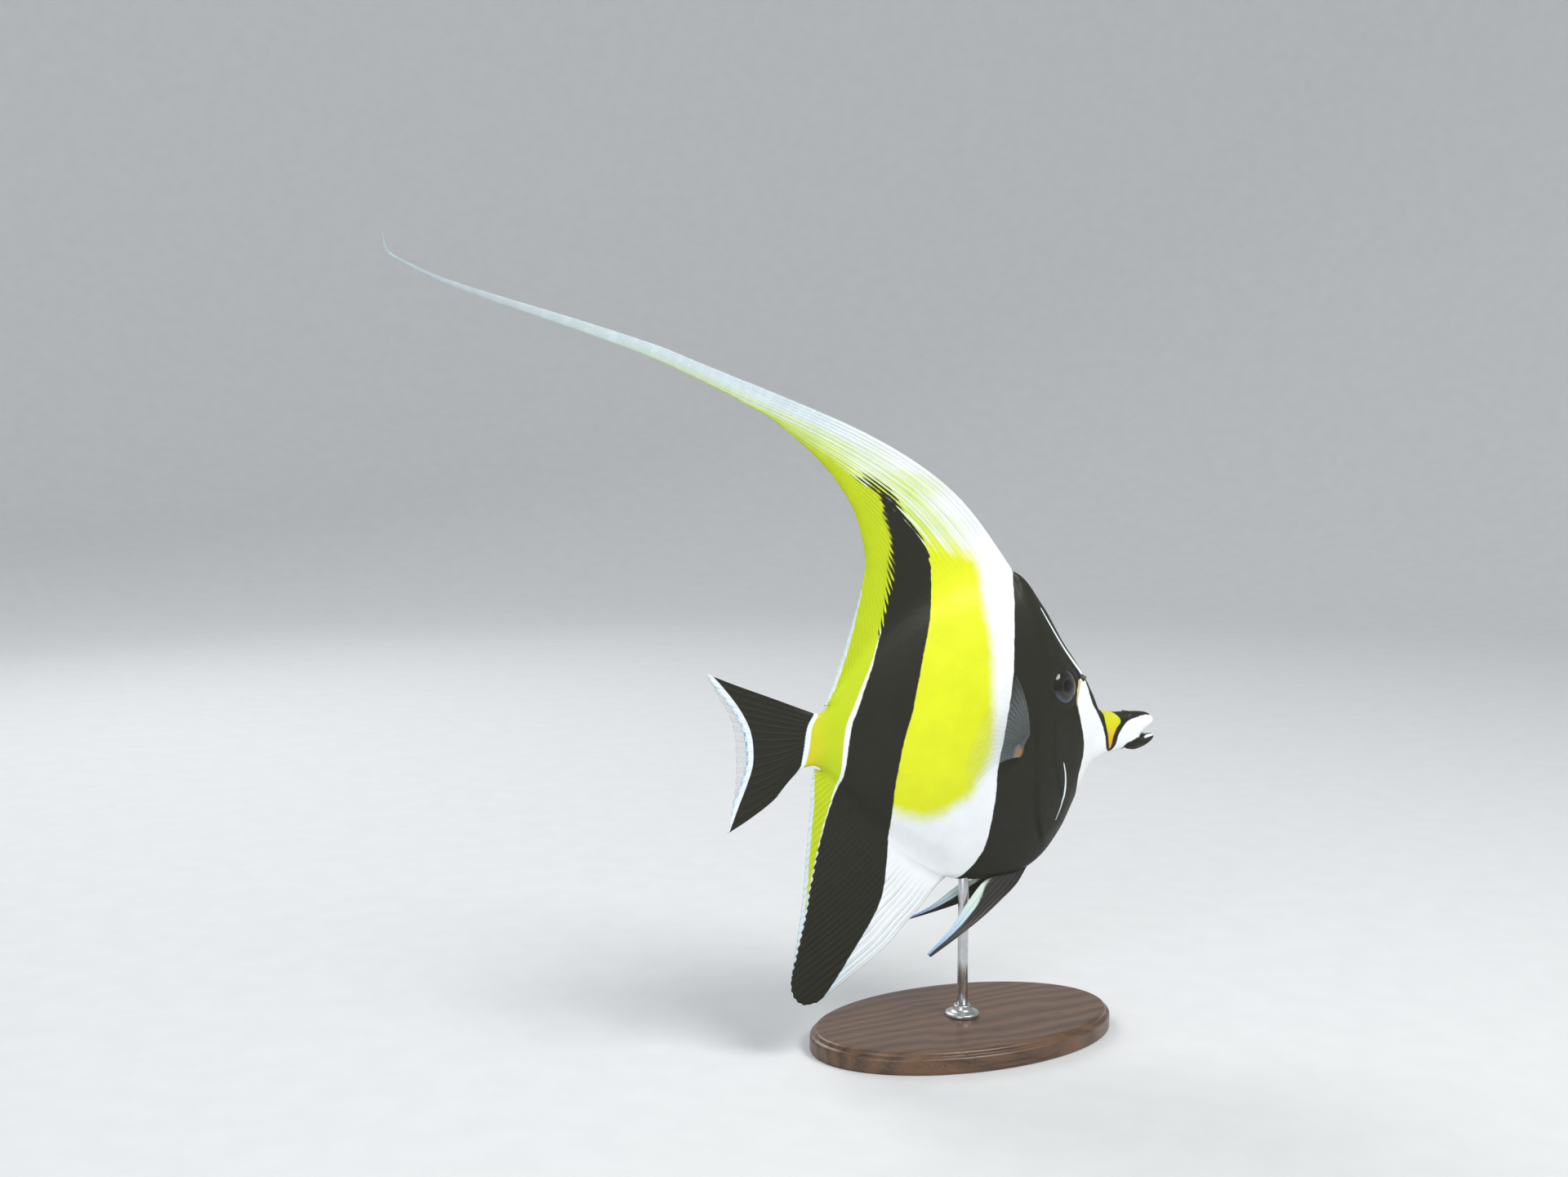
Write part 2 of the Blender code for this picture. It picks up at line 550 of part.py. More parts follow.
def pectoral_fins(finish, carrier):
    """Fan that stands off each flank, its rays spread from upright to just below level."""
    rows = 6
    share = np.linspace(0, 1, 2 * PECTORAL_RAYS + 1)
    v = np.linspace(0, 1, rows)
    bend = smooth_rows(np.array(PECTORAL_BEND)[:, None], share * (len(PECTORAL_BEND) - 1))
    angle = PECTORAL_FIRST + (PECTORAL_LAST - PECTORAL_FIRST) * share[:, None] + bend * (v - 0.5)
    angle = np.radians(angle)
    reach = smooth_rows(np.array(PECTORAL_REACH)[:, None], share * (len(PECTORAL_REACH) - 1)) * v
    spread = math.radians(PECTORAL_SPREAD)
    for side_name, side in SIDES.items():
        top, normal = flank_place(*PECTORAL_TOP, side)
        low, _ = flank_place(*PECTORAL_LOW, side)
        root = top + (low - top) * share[:, None] + np.array([0, side * (GAP + 0.75), 0])
        cup = PECTORAL_CUP * np.sin(np.pi * share)[:, None] * v ** 2
        outwards = side * (math.sin(spread) * reach + cup)
        way = np.stack([-math.cos(spread) * np.sin(angle) * reach, outwards, np.cos(angle) * reach], axis=-1)
        middle = root[:, None] + way
        face = np.array([math.sin(spread), side * math.cos(spread), 0.0])
        blend = np.clip(v / 0.25, 0, 1)[None, :, None]
        facing = normal * (1 - blend) + face * blend
        thick = ray_relief(PECTORAL_RAYS, rows, PECTORAL_ROOT)
        offset = facing / np.linalg.norm(facing, axis=-1, keepdims=True) * thick[..., None]
        make_object("pectoral_fin_" + side_name, *plate(middle, offset), finish["clear"], carrier)


def pelvic_fins(finish, carrier):
    """Long pointed fin under the breast on each side, trailing back and out."""
    rows = 9
    share = np.linspace(0, 1, 2 * PELVIC_RAYS + 1)
    belly = smooth_rows(STATIONS, np.linspace(SHOULDER - 2, SHOULDER + 2, 80))
    for side_name, side in SIDES.items():
        start = along([PELVIC_LEAD[0], PELVIC_TRAIL[0]], share)
        start[:, 1] = np.interp(start[:, 0], belly[:, 2], belly[:, 3]) - GAP
        end = along([PELVIC_LEAD[-1], PELVIC_TRAIL[-1]], share)
        flat = fin_grid(start, end, [tuple(start[0])] + PELVIC_LEAD[1:],
                        [tuple(start[-1])] + PELVIC_TRAIL[1:], rows)
        if side_name == "left":
            flat = lifted(flat, start.mean(axis=0), FAR_PELVIC_LIFT)
        drop = np.linalg.norm(flat - flat[:, :1], axis=-1)
        y = side * (PELVIC_ROOT_Y + PELVIC_SPLAY * drop / drop.max())
        middle = np.stack([flat[..., 0], y, flat[..., 1]], axis=-1)
        offset = np.zeros_like(middle)
        offset[..., 1] = ray_relief(PELVIC_RAYS, rows, PELVIC_ROOT)
        make_object("pelvic_fin_" + side_name, *plate(middle, offset), finish["black"], carrier)


def lifted(flat, pivot, degrees):
    """A fin's side-plane grid swung up about its root, the root itself kept."""
    v = np.linspace(0, 1, flat.shape[1])[None, :]
    angle = -math.radians(degrees) * np.clip(v * 3, 0, 1)
    dx, dz = flat[..., 0] - pivot[0], flat[..., 1] - pivot[1]
    return np.stack([pivot[0] + dx * np.cos(angle) - dz * np.sin(angle),
                     pivot[1] + dx * np.sin(angle) + dz * np.cos(angle)], axis=-1)


# Stand

def stand(trunk, finish):
    shape = bmesh.new()
    bmesh.ops.create_cone(shape, cap_ends=True, segments=BASE_SIDES, radius1=0.5, radius2=0.5,
                          depth=BASE_THICKNESS * MM)
    shape.transform(Matrix.Diagonal((BASE_LENGTH * MM, BASE_WIDTH * MM, 1, 1)))
    mesh = bpy.data.meshes.new("stand_base")
    shape.to_mesh(mesh)
    shape.free()
    base = bpy.data.objects.new("stand_base", mesh)
    base.location = (0, 0, BASE_THICKNESS * MM / 2)
    base.data.materials.append(finish["base"])
    bpy.context.scene.collection.objects.link(base)
    bevel = base.modifiers.new("rounded edge", "BEVEL")
    bevel.width = BASE_BEVEL * MM
    bevel.segments = 2
    bevel.limit_method = "ANGLE"
    bevel.angle_limit = math.radians(60)

    belly = smooth_rows(STATIONS, np.linspace(ANAL_FRONT, SHOULDER, 60))
    belly_z = AXIS_HEIGHT + float(np.interp(STAND_X, belly[:, 2], belly[:, 3]))
    foot_top = BASE_THICKNESS + GAP + FOOT_HEIGHT
    rod_low = foot_top + GAP
    rod_top = belly_z + ROD_SINK
    peg("stand_foot", (0, 0, BASE_THICKNESS + GAP), (0, 0, 1), FOOT_RADIUS, FOOT_HEIGHT, FOOT_SIDES,
        finish["rod"], None)
    peg("stand_rod", (0, 0, rod_low), (0, 0, 1), ROD_RADIUS, rod_top - rod_low, ROD_SIDES,
        finish["rod"], None)
    bore = peg("rod_bore", (0, 0, belly_z - ROD_SINK), (0, 0, 1), ROD_RADIUS + GAP, 2 * ROD_SINK + GAP,
               ROD_SIDES, finish["rod"], None)
    cut_away(trunk, bore)


def build():
    remove_everything()
    finish = finish_colours()
    carrier = bpy.data.objects.new("fish", None)
    carrier.location = (-STAND_X * MM, 0, AXIS_HEIGHT * MM)
    bpy.context.scene.collection.objects.link(carrier)
    trunk, head = body_nodes(finish, carrier)
    eyes_and_nostrils(head, finish, carrier)
    horns(finish, carrier)
    gill_covers(finish, carrier)
    dorsal_fin(finish, carrier)
    dorsal_filament(finish, carrier)
    anal_fin(finish, carrier)
    caudal_fin(finish, carrier)
    pectoral_fins(finish, carrier)
    pelvic_fins(finish, carrier)
    stand(trunk, finish)


build()
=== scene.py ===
import math

import bpy
import numpy as np
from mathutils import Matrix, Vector


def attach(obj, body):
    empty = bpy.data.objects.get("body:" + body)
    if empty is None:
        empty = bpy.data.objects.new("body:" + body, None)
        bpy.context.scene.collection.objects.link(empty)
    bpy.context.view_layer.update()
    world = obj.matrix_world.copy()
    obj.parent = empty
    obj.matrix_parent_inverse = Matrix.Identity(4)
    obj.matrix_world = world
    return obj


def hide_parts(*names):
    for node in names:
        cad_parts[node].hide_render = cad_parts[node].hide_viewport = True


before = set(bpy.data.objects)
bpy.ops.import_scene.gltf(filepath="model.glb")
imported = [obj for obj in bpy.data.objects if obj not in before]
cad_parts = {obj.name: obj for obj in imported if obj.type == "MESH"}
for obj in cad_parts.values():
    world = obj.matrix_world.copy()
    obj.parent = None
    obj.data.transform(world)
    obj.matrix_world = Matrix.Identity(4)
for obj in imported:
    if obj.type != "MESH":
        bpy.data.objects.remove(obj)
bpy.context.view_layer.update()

# Moorish idol on its stand. Drawn in millimetres in the fish's own side plane:
# x forward from the tail base, y to its left, z up from the body's axis.
fishPlace = np.array([-66.0, 0.0, 120.0])  # the tail base in the model's frame
sideNames = {1: "left", -1: "right"}  # by the sign of y


# Curves and grids

def smoothRows(rows, u):
    # Catmull-Rom curve through the rows, read at the places u (0 is the first row)
    rows = np.asarray(rows, float)
    padded = np.vstack([2 * rows[0] - rows[1], rows, 2 * rows[-1] - rows[-2]])
    u = np.clip(np.asarray(u, float), 0, len(rows) - 1)
    i = np.minimum(u.astype(int), len(rows) - 2)
    f = (u - i)[..., None]
    a, b, c, d = (padded[i + k] for k in range(4))
    return b + 0.5 * f * (c - a + f * (2 * a - 5 * b + 4 * c - d + f * (3 * (b - c) + d - a)))


def fineLine(points, count):
    return smoothRows(points, np.linspace(0, len(points) - 1, count))


def curvePoints(points, share):
    # the same curve read at shares of its length
    fine = fineLine(points, 40 * len(points))
    reach = np.concatenate([[0], np.cumsum(np.linalg.norm(np.diff(fine, axis=0), axis=1))])
    share = np.asarray(share, float) * reach[-1]
    return np.stack([np.interp(share, reach, fine[:, k]) for k in range(fine.shape[1])], axis=-1)


def fourEdges(base, margin, lead, last, u, v):
    # Coons patch: both ruled surfaces added, the one through the corners taken off. base and
    # margin are (n, 2), at the shares u; lead and last are (m, 2), at the shares v from base to margin
    u, v = u[:, None, None], v[None, :, None]
    ruled = (1 - v) * base[:, None] + v * margin[:, None] + (1 - u) * lead[None] + u * last[None]
    near = (1 - v) * base[0] + v * margin[0]
    far = (1 - v) * base[-1] + v * margin[-1]
    return ruled - (1 - u) * near - u * far


def fanEdges(base, margin, lead, v):
    # each ray bends as the leading edge does, scaled to its own length, less towards the last ray
    chord = lead[-1] - lead[0]
    bend = (lead - lead[0] - v[:, None] * chord) / (chord @ chord)
    ahead, aside = (bend @ chord)[:, None], (bend @ (-chord[1], chord[0]))[:, None]
    ray = (margin - base)[:, None]
    turned = np.stack([-ray[..., 1], ray[..., 0]], axis=-1)
    strength = np.linspace(1, 0, len(base))[:, None, None]
    return base[:, None] + ray * v[:, None] + strength * (ray * ahead + turned * aside)


def step(value, low, high):
    # smooth step from 0 at low to 1 at high
    f = np.clip((value - low) / (high - low), 0, 1)
    return f * f * (3 - 2 * f)


def rounded(distance, width):
    # quarter circle: 0 at the rim, 1 from one width inwards
    return np.sqrt(1 - (1 - np.clip(distance / width, 0, 1)) ** 2)


def bell(value, width):
    return np.exp(-(value / width) ** 2)


def lineDistance(x, z, line):
    # nearest distance from each point to a polyline, and the share of its length there
    line = np.asarray(line, float)
    a, b = line[:-1], line[1:]
    run = b - a
    size = (run ** 2).sum(1)
    lengths = np.sqrt(size)
    start = np.concatenate([[0], np.cumsum(lengths)[:-1]])
    best = np.full(np.shape(x), 1e9)
    place = np.zeros(np.shape(x))
    for k in range(len(a)):
        f = np.clip(((x - a[k, 0]) * run[k, 0] + (z - a[k, 1]) * run[k, 1]) / size[k], 0, 1)
        d = np.hypot(x - a[k, 0] - f * run[k, 0], z - a[k, 1] - f * run[k, 1])
        nearer = d < best
        best = np.where(nearer, d, best)
        place = np.where(nearer, start[k] + f * lengths[k], place)
    return best, place / lengths.sum()


def areaDistance(x, z, outline):
    # signed distance to a closed outline, positive inside
    outline = np.asarray(outline, float)
    closed = np.vstack([outline, outline[:1]])
    d, _ = lineDistance(x, z, closed)
    inside = np.zeros(np.shape(x), bool)
    for (ax, az), (bx, bz) in zip(closed[:-1], closed[1:]):
        if az != bz:
            crosses = ((az > z) != (bz > z)) & (x < (bx - ax) * (z - az) / (bz - az) + ax)
            inside ^= crosses
    return np.where(inside, d, -d)


def borderDistance(x, z, border):
    # how far in front of a border that runs from top to bottom, its slope allowed for
    fine = fineLine(border, 12 * len(border))
    order = np.argsort(fine[:, 1])
    bx, bz = fine[order, 0], fine[order, 1]
    at = np.interp(z, bz, bx)
    slope = (np.interp(z + 1, bz, bx) - np.interp(z - 1, bz, bx)) / 2
    return (x - at) / np.sqrt(1 + slope ** 2)


# Meshes

def makePiece(name, points, faces, finish):
    # object from points in fish millimetres and arrays of faces, turned outwards
    points = (np.asarray(points, float) + fishPlace) * 0.001
    triangles = [np.concatenate([f[:, :3], f[:, [0, 2, 3]]]) if f.shape[1] == 4 else f for f in faces]
    triangles = np.concatenate(triangles)
    corner = points[triangles] - points.mean(0)
    volume = np.einsum("ij,ij->i", corner[:, 0], np.cross(corner[:, 1], corner[:, 2])).sum()
    if volume < 0:
        faces = [f[:, ::-1] for f in faces]
    mesh = bpy.data.meshes.new(name)
    mesh.from_pydata(points.tolist(), [], [face for f in faces for face in f.tolist()])
    mesh.shade_smooth()
    mesh.materials.append(finish)
    piece = bpy.data.objects.new(name, mesh)
    bpy.context.scene.collection.objects.link(piece)
    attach(piece, "root")
    return piece


def gridQuads(index):
    # quads between the rows and columns of an array of point numbers
    a, b, c, d = index[:-1, :-1], index[1:, :-1], index[1:, 1:], index[:-1, 1:]
    return np.stack([a.ravel(), b.ravel(), c.ravel(), d.ravel()], axis=1)


def turns(sides):
    return 2 * np.pi * np.arange(sides) / sides


def ringIndex(rows, sides):
    # numbers of the points on closed rings, the first column repeated at the end
    index = np.arange(rows * sides).reshape(rows, sides)
    return np.concatenate([index, index[:, :1]], axis=1)


def capFaces(index, start, end):
    # triangles from the first and the last ring to the points on the axis
    first, last = np.full(index.shape[1] - 1, start), np.full(index.shape[1] - 1, end)
    return np.concatenate([np.stack([first, index[0, 1:], index[0, :-1]], 1),
                           np.stack([last, index[-1, :-1], index[-1, 1:]], 1)])


def zipper(coarse, fine):
    # triangles that join a row of points to a row with three times as many steps
    a, b = coarse[:-1], coarse[1:]
    f0, f1, f2, f3 = fine[:-1:3], fine[1::3], fine[2::3], fine[3::3]
    return np.concatenate([np.stack(t, axis=1) for t in ((a, f0, f1), (a, f1, b), (b, f1, f2), (b, f2, f3))])


def writeMark(piece, name, values):
    mark = piece.data.attributes.new(name, "FLOAT", "POINT")
    mark.data.foreach_set("value", np.asarray(values, np.float32).ravel())


def closedPlate(middle, offset):
    # a grid moved both ways by the offset, with its rim joined
    n, m = middle.shape[:2]
    index = np.arange(n * m).reshape(n, m)
    points = np.concatenate([(middle - offset).reshape(-1, 3), (middle + offset).reshape(-1, 3)])
    rim = np.concatenate([index[:-1, 0], index[-1, :-1], index[:0:-1, -1], index[0, :0:-1]])
    after = np.roll(rim, -1)
    walls = np.stack([rim, rim + n * m, after + n * m, after], axis=1)
    return points, [gridQuads(index), gridQuads(index)[:, ::-1] + n * m, walls]


# Finishes

class Finish:
    # a material and short ways to write its nodes
    def __init__(self, name):
        self.material = bpy.data.materials.new(name)
        self.material.use_nodes = True
        self.tree = self.material.node_tree
        self.shader = self.tree.nodes["Principled BSDF"]

    def wire(self, socket, value):
        if isinstance(value, bpy.types.NodeSocket):
            self.tree.links.new(value, socket)
        elif isinstance(value, tuple) and len(value) == 3 and socket.type == "RGBA":
            socket.default_value = (*value, 1.0)
        else:
            socket.default_value = value

    def node(self, kind, inputs, output=0, **settings):
        node = self.tree.nodes.new("ShaderNode" + kind)
        for key, value in settings.items():
            setattr(node, key, value)
        for slot, value in inputs.items():
            self.wire(node.inputs[slot], value)
        return node.outputs[output]

    def calc(self, operation, a, b=0.0, c=0.0):
        return self.node("Math", {0: a, 1: b, 2: c}, operation=operation)

    def times(self, first, *others):
        for other in others:
            first = self.calc("MULTIPLY", first, other)
        return first

    def plus(self, a, b):
        return self.calc("ADD", a, b)

    def minus(self, a, b):
        return self.calc("SUBTRACT", a, b)

    def forked(self, ray, reach, start, spread):
        # distance from the nearest ray, which forks beyond a share of its length
        return self.calc("ABSOLUTE", self.minus(self.calc("PINGPONG", ray, 0.5),
                                                self.fade(reach, start, 1.0, 0.0, spread)))

    def mark(self, name):
        return self.node("Attribute", {}, output=2, attribute_name=name)

    def place(self):
        return self.node("TexCoord", {}, output=3)

    def stretched(self, scale):
        return self.node("Mapping", {"Vector": self.place(), "Scale": scale})

    def noise(self, vector, scale, detail=3.0, roughness=0.55):
        inputs = {"Vector": vector, "Scale": scale, "Detail": detail, "Roughness": roughness}
        return self.node("TexNoise", inputs)

    def fade(self, value, low, high, start=0.0, end=1.0):
        return self.node("MapRange", {0: value, 1: low, 2: high, 3: start, 4: end},
                         interpolation_type="SMOOTHSTEP")

    def mix(self, factor, a, b):
        return self.node("Mix", {0: factor, 6: a, 7: b}, output=2, data_type="RGBA")

    def tint(self, colour, amount, vector, scale):
        # slow drift of a colour's brightness
        grain = self.fade(self.noise(vector, scale), 0.3, 0.7, 1 - amount, 1 + amount)
        grey = self.node("CombineColor", {0: grain, 1: grain, 2: grain})
        return self.node("Mix", {0: 1.0, 6: colour, 7: grey}, output=2, data_type="RGBA",
                         blend_type="MULTIPLY")

    def bump(self, height, strength, distance, under=None):
        inputs = {"Height": height, "Strength": strength, "Distance": distance}
        if under is not None:
            inputs["Normal"] = under
        return self.node("Bump", inputs)

    def set(self, **values):
        names = {"colour": "Base Color", "roughness": "Roughness", "metal": "Metallic", "normal": "Normal",
                 "alpha": "Alpha", "coat": "Coat Weight", "coatRoughness": "Coat Roughness",
                 "gleam": "Specular IOR Level"}
        for key, value in values.items():
            self.wire(self.shader.inputs[names[key]], value)


print("frame read, building the skin")


# The fish's form

body = {
    # top x, top z, low x, low z, half thickness, half edge of back, of belly, bow, fullness
    "stations": [
        (2.6, 9.3, -2.2, -10.3, 2.3, 0.9, 0.9, 0.0, 0.55),
        (7.2, 10.2, 4.4, -10.6, 3.2, 1.0, 1.0, 0.0, 0.65),
        (17.0, 22.0, 13.5, -20.5, 5.0, 1.0, 1.0, 0.0, 0.90),
        (31.0, 37.0, 27.0, -34.5, 7.7, 1.0, 1.0, 0.0, 1.05),
        (47.0, 49.0, 42.0, -48.0, 10.3, 1.1, 1.2, 1.0, 1.05),
        (66.0, 56.5, 60.0, -57.8, 12.3, 1.2, 1.9, 2.5, 0.95),
        (86.3, 57.3, 82.5, -59.6, 13.2, 1.4, 2.4, 4.5, 0.85),
        (97.8, 45.4, 95.8, -55.5, 12.5, 1.5, 2.2, 3.0, 0.78),
        (107.2, 30.8, 105.7, -45.5, 11.1, 1.7, 2.0, 1.0, 0.73),
        (115.6, 19.4, 113.0, -32.5, 9.0, 2.0, 1.8, 0.0, 0.68),
        (120.3, 11.0, 119.0, -21.6, 7.2, 2.0, 1.7, 0.0, 0.62),
        (124.7, 2.5, 126.2, -16.8, 5.5, 1.9, 1.6, 0.0, 0.54),
        (132.4, 0.4, 132.6, -15.4, 4.6, 1.8, 1.5, 0.0, 0.50),
        (138.0, 0.1, 137.7, -14.0, 4.1, 1.7, 1.4, 0.0, 0.48),
        (143.8, -0.2, 143.3, -9.6, 3.5, 1.5, 1.5, 0.0, 0.48)],
    "roundness": 2.2,
    "finEnd": 1.2,  # stations where the upright fins end behind and start in front
    "analFront": 4.912,
    "dorsalFront": 6.0,
    "snoutRoot": 13.0,
    "rows": 120,  # steps from belly to back
    "finSteps": 75,  # steps along the dorsal fin's base
    "headSteps": 96,
    "finRoot": 0.85,  # half thickness of the fins where they leave the body
    "foot": 0.22,  # share of the flank's height over which it runs out of a fin
}


def edgeOfFin(u, top):
    # half thickness left at the very edge of the body, where a fin stands on it
    front = body["dorsalFront"] if top else body["analFront"]
    # a station is about 18 mm long in front and 10 mm behind
    room = np.minimum((front - u) * 18, (u - body["finEnd"]) * 10)
    return body["finRoot"] * rounded(np.clip(room, 0, None), 3.0)


def bodyPoints(u, t):
    # t runs from -1 at the belly to 1 at the back. The half thickness is the fin's root,
    # plus a rounded edge, plus the flank's swell (1 - |t|^roundness)^fullness
    row = smoothRows(body["stations"], u)
    share = (t + 1) / 2
    x = row[..., 2] + (row[..., 0] - row[..., 2]) * share + row[..., 7] * (1 - t * t)
    z = row[..., 3] + (row[..., 1] - row[..., 3]) * share
    edge = row[..., 6] + (row[..., 5] - row[..., 6]) * share
    height = (row[..., 1] - row[..., 3]) / 2
    fin = np.where(t > 0, edgeOfFin(u, True), edgeOfFin(u, False))
    under = fin / body["finRoot"]
    corner = rounded((1 - np.abs(t)) * height, 1.3 * edge * (1 + 1.5 * under))
    swell = (1 - np.abs(t) ** body["roundness"]).clip(0) ** row[..., 8]
    # where a fin stands, the flank swells out of it softly
    swell = swell * (1 - under * (1 - np.clip((1 - np.abs(t)) / body["foot"], 0, 1)) ** 2)
    return np.stack([x, fin + (edge - fin) * corner + (row[..., 4] - edge) * swell, z], axis=-1)


def placeOnFlank(x, z, side):
    # skin point at a side-plane place and its outward normal, by Newton's steps
    u, t, tiny = 9.0, 0.0, 0.01
    turn = np.array([1, side, 1])
    for _ in range(30):
        here = bodyPoints(np.array(u), np.array(t)) * turn
        across = (bodyPoints(np.array(u + tiny), np.array(t)) * turn - here) / tiny
        upward = (bodyPoints(np.array(u), np.array(t + tiny)) * turn - here) / tiny
        du, dt = np.linalg.solve([[across[0], upward[0]], [across[2], upward[2]]], (x - here[0], z - here[2]))
        u, t = u + du, float(np.clip(t + dt, -0.98, 0.98))
    normal = np.cross(across, upward)
    return here, normal * side * np.sign(normal[1]) / np.linalg.norm(normal)


headDetail = {
    "eye": (103.6, 13.7),
    "socketRadius": 6.0,
    "socketDepth": 2.4,
    "rimHeight": 0.35,
    "nostrils": [(113.9, 13.4, 0.95), (115.9, 10.8, 0.75)],
    "nostrilDepth": 0.8,
    # rear and lower edge of the gill cover, from top to bottom
    "gillEdge": [(92.0, 15.0), (90.6, 8.0), (89.8, 0.0), (89.6, -8.0), (89.8, -16.0), (90.2, -24.0),
                 (91.2, -32.0), (93.2, -39.5), (96.2, -45.5), (99.0, -49.0)],
    "gillHeight": 0.75,
    # border of the cheek plate in front of it
    "cheekEdge": [(97.5, 4.0), (97.0, -4.0), (97.6, -12.0), (99.6, -20.0), (102.2, -27.0), (105.6, -33.0)],
    "cheekHeight": 0.35,
}


def headRelief(x, z):
    # what the head's features add to the half thickness, in millimetres
    d = headDetail
    fromEye = np.hypot(x - d["eye"][0], z - d["eye"][1])
    relief = -d["socketDepth"] * step(fromEye, d["socketRadius"], d["socketRadius"] - 2.2)
    relief += d["rimHeight"] * bell(fromEye - d["socketRadius"] - 0.7, 0.8)
    relief -= 0.25 * bell(fromEye - d["socketRadius"] - 3.0, 1.1)
    for nx, nz, radius in d["nostrils"]:
        r = np.hypot(x - nx, z - nz)
        relief += -d["nostrilDepth"] * bell(r, radius * 0.8) + 0.2 * bell(r - radius * 1.5, 0.45)
    for name, reach in (("gill", 15.0), ("cheek", 9.0)):
        edge, height = d[name + "Edge"], d[name + "Height"]
        away, share = lineDistance(x, z, fineLine(edge, 60))
        front = np.sign(borderDistance(x, z, edge))
        ends = step(share, 0.0, 0.12) * step(share, 1.0, 0.88)
        flap = step(away * front, -0.35, 0.45) * step(away * front, reach, 1.0)
        relief += height * ends * flap - 0.35 * height * ends * bell(away * front + 1.0, 0.8)
    return relief


dorsalFin = {
    "lead": [(86.3, 57.3), (78.0, 68.2), (67.7, 80.5), (56.8, 90.5), (41.8, 100.5), (23.3, 110.1),
             (3.5, 118.4), (-24.2, 128.8)],
    "margin": [(-26.8, 122.2), (-19.5, 118.4), (-12.2, 114.0), (3.2, 101.9), (13.5, 90.4), (19.7, 79.3),
               (23.1, 66.0), (21.9, 54.6), (16.5, 36.5), (10.7, 21.0), (6.5, 11.7)],
    "streamerSteps": 39,  # of the fin's 225 columns, those that run on into the streamer
    "rays": 45,
    "rows": 38,
}
streamer = {
    # x, z, half width, half thickness
    "rows": [(-25.5, 125.5, 3.55, 0.50), (-42.7, 132.6, 2.85, 0.50), (-58.9, 139.1, 2.35, 0.48),
             (-88.1, 148.4, 1.70, 0.44), (-116.0, 156.6, 1.15, 0.40), (-132.2, 161.9, 0.80, 0.36),
             (-143.0, 166.8, 0.62, 0.32), (-148.6, 170.6, 0.50, 0.28), (-150.2, 177.2, 0.32, 0.22)],
    "sway": 5.0,  # how far its end leans to the left
    "steps": 130,
}
analFin = {
    "lead": [(58.5, -57.6), (53.0, -61.2), (48.0, -66.9), (40.5, -73.6), (32.8, -80.7), (17.5, -90.6),
             (4.0, -98.6)],
    "margin": [(4.0, -98.6), (-1.6, -98.7), (-5.6, -95.0), (-6.6, -88.5), (-4.6, -76.6), (-2.0, -58.6),
               (-0.5, -40.6), (1.0, -25.0), (1.3, -17.5), (2.6, -11.0)],
    "rays": 35,
    "rows": 32,
}
tailFin = {
    "top": [(2.6, 9.3), (-15.9, 16.8), (-28.5, 21.8), (-39.6, 26.6)],
    "low": [(-2.2, -10.3), (-12.5, -20.4), (-22.1, -26.7), (-31.6, -31.6)],
    "margin": [(-39.6, 26.6), (-34.8, 17.5), (-31.1, 11.4), (-28.9, 3.9), (-28.3, -5.0), (-28.6, -13.8),
               (-29.6, -21.1), (-31.6, -31.6)],
    "rays": 16,
    "rows": 34,
}
finForm = {
    "membrane": 0.17,  # half thickness between the rays
    "taper": 0.3,  # share of it lost towards the rim
    "ray": 0.16,  # how far a ray stands up
    "rayTaper": 0.55,
    "footEnd": 0.3,  # share of the rays over which the root thins out
    "scallop": 0.45,  # how far the membrane's edge draws back between two rays
}


def finThickness(form, ray, v, root):
    # half thickness: the root's at the base, then a membrane with a rounded ridge on each ray
    ridge = form["ray"] * (0.5 + 0.5 * np.cos(2 * np.pi * ray)) ** 1.5 * (1 - form["rayTaper"] * v)
    thin = form["membrane"] * (1 - form["taper"] * v) + ridge
    return thin + (root - thin) * np.clip(1 - v / form["footEnd"], 0, 1) ** 1.5


def roundRims(thick, flat, rims):
    # thickness rounded off over a width at each rim
    for line, width in rims:
        thick = thick * rounded(lineDistance(flat[..., 0], flat[..., 1], line)[0], width)
    return thick


def scallop(number, v):
    # how far the free rim draws back between two rays
    return finForm["scallop"] * (0.5 - 0.5 * np.cos(2 * np.pi * number))[:, None] * step(v, 0.93, 1.0)


def finRows(count):
    # shares along the rays, closest at the root and the margin
    k = np.linspace(0, 1, count + 1)[1:]
    return 0.35 * k + 0.65 * (1 - (1 - k) ** 1.8)


snoutTip = {
    # upright outline of the jaws from the top of the snout round the mouth's notch to the chin
    "upper": [(140.2, 0.0), (143.8, -0.25), (147.4, -0.75), (149.3, -1.5), (150.6, -2.7), (151.0, -4.1),
              (150.3, -5.4), (148.9, -6.3), (147.0, -7.6), (145.6, -8.9), (144.7, -9.85)],
    "lower": [(144.7, -9.85), (146.4, -9.75), (148.2, -9.3), (149.8, -9.0), (151.0, -9.5), (151.4, -10.5),
              (150.7, -11.9), (149.0, -13.2), (146.6, -14.4), (143.6, -15.2), (141.6, -15.3), (139.6, -14.9)],
    "steps": 42,
    "thickness": [(137.0, 4.0), (141.0, 3.6), (145.0, 3.15), (148.0, 3.05), (152.0, 2.9)],  # x, half thickness
}


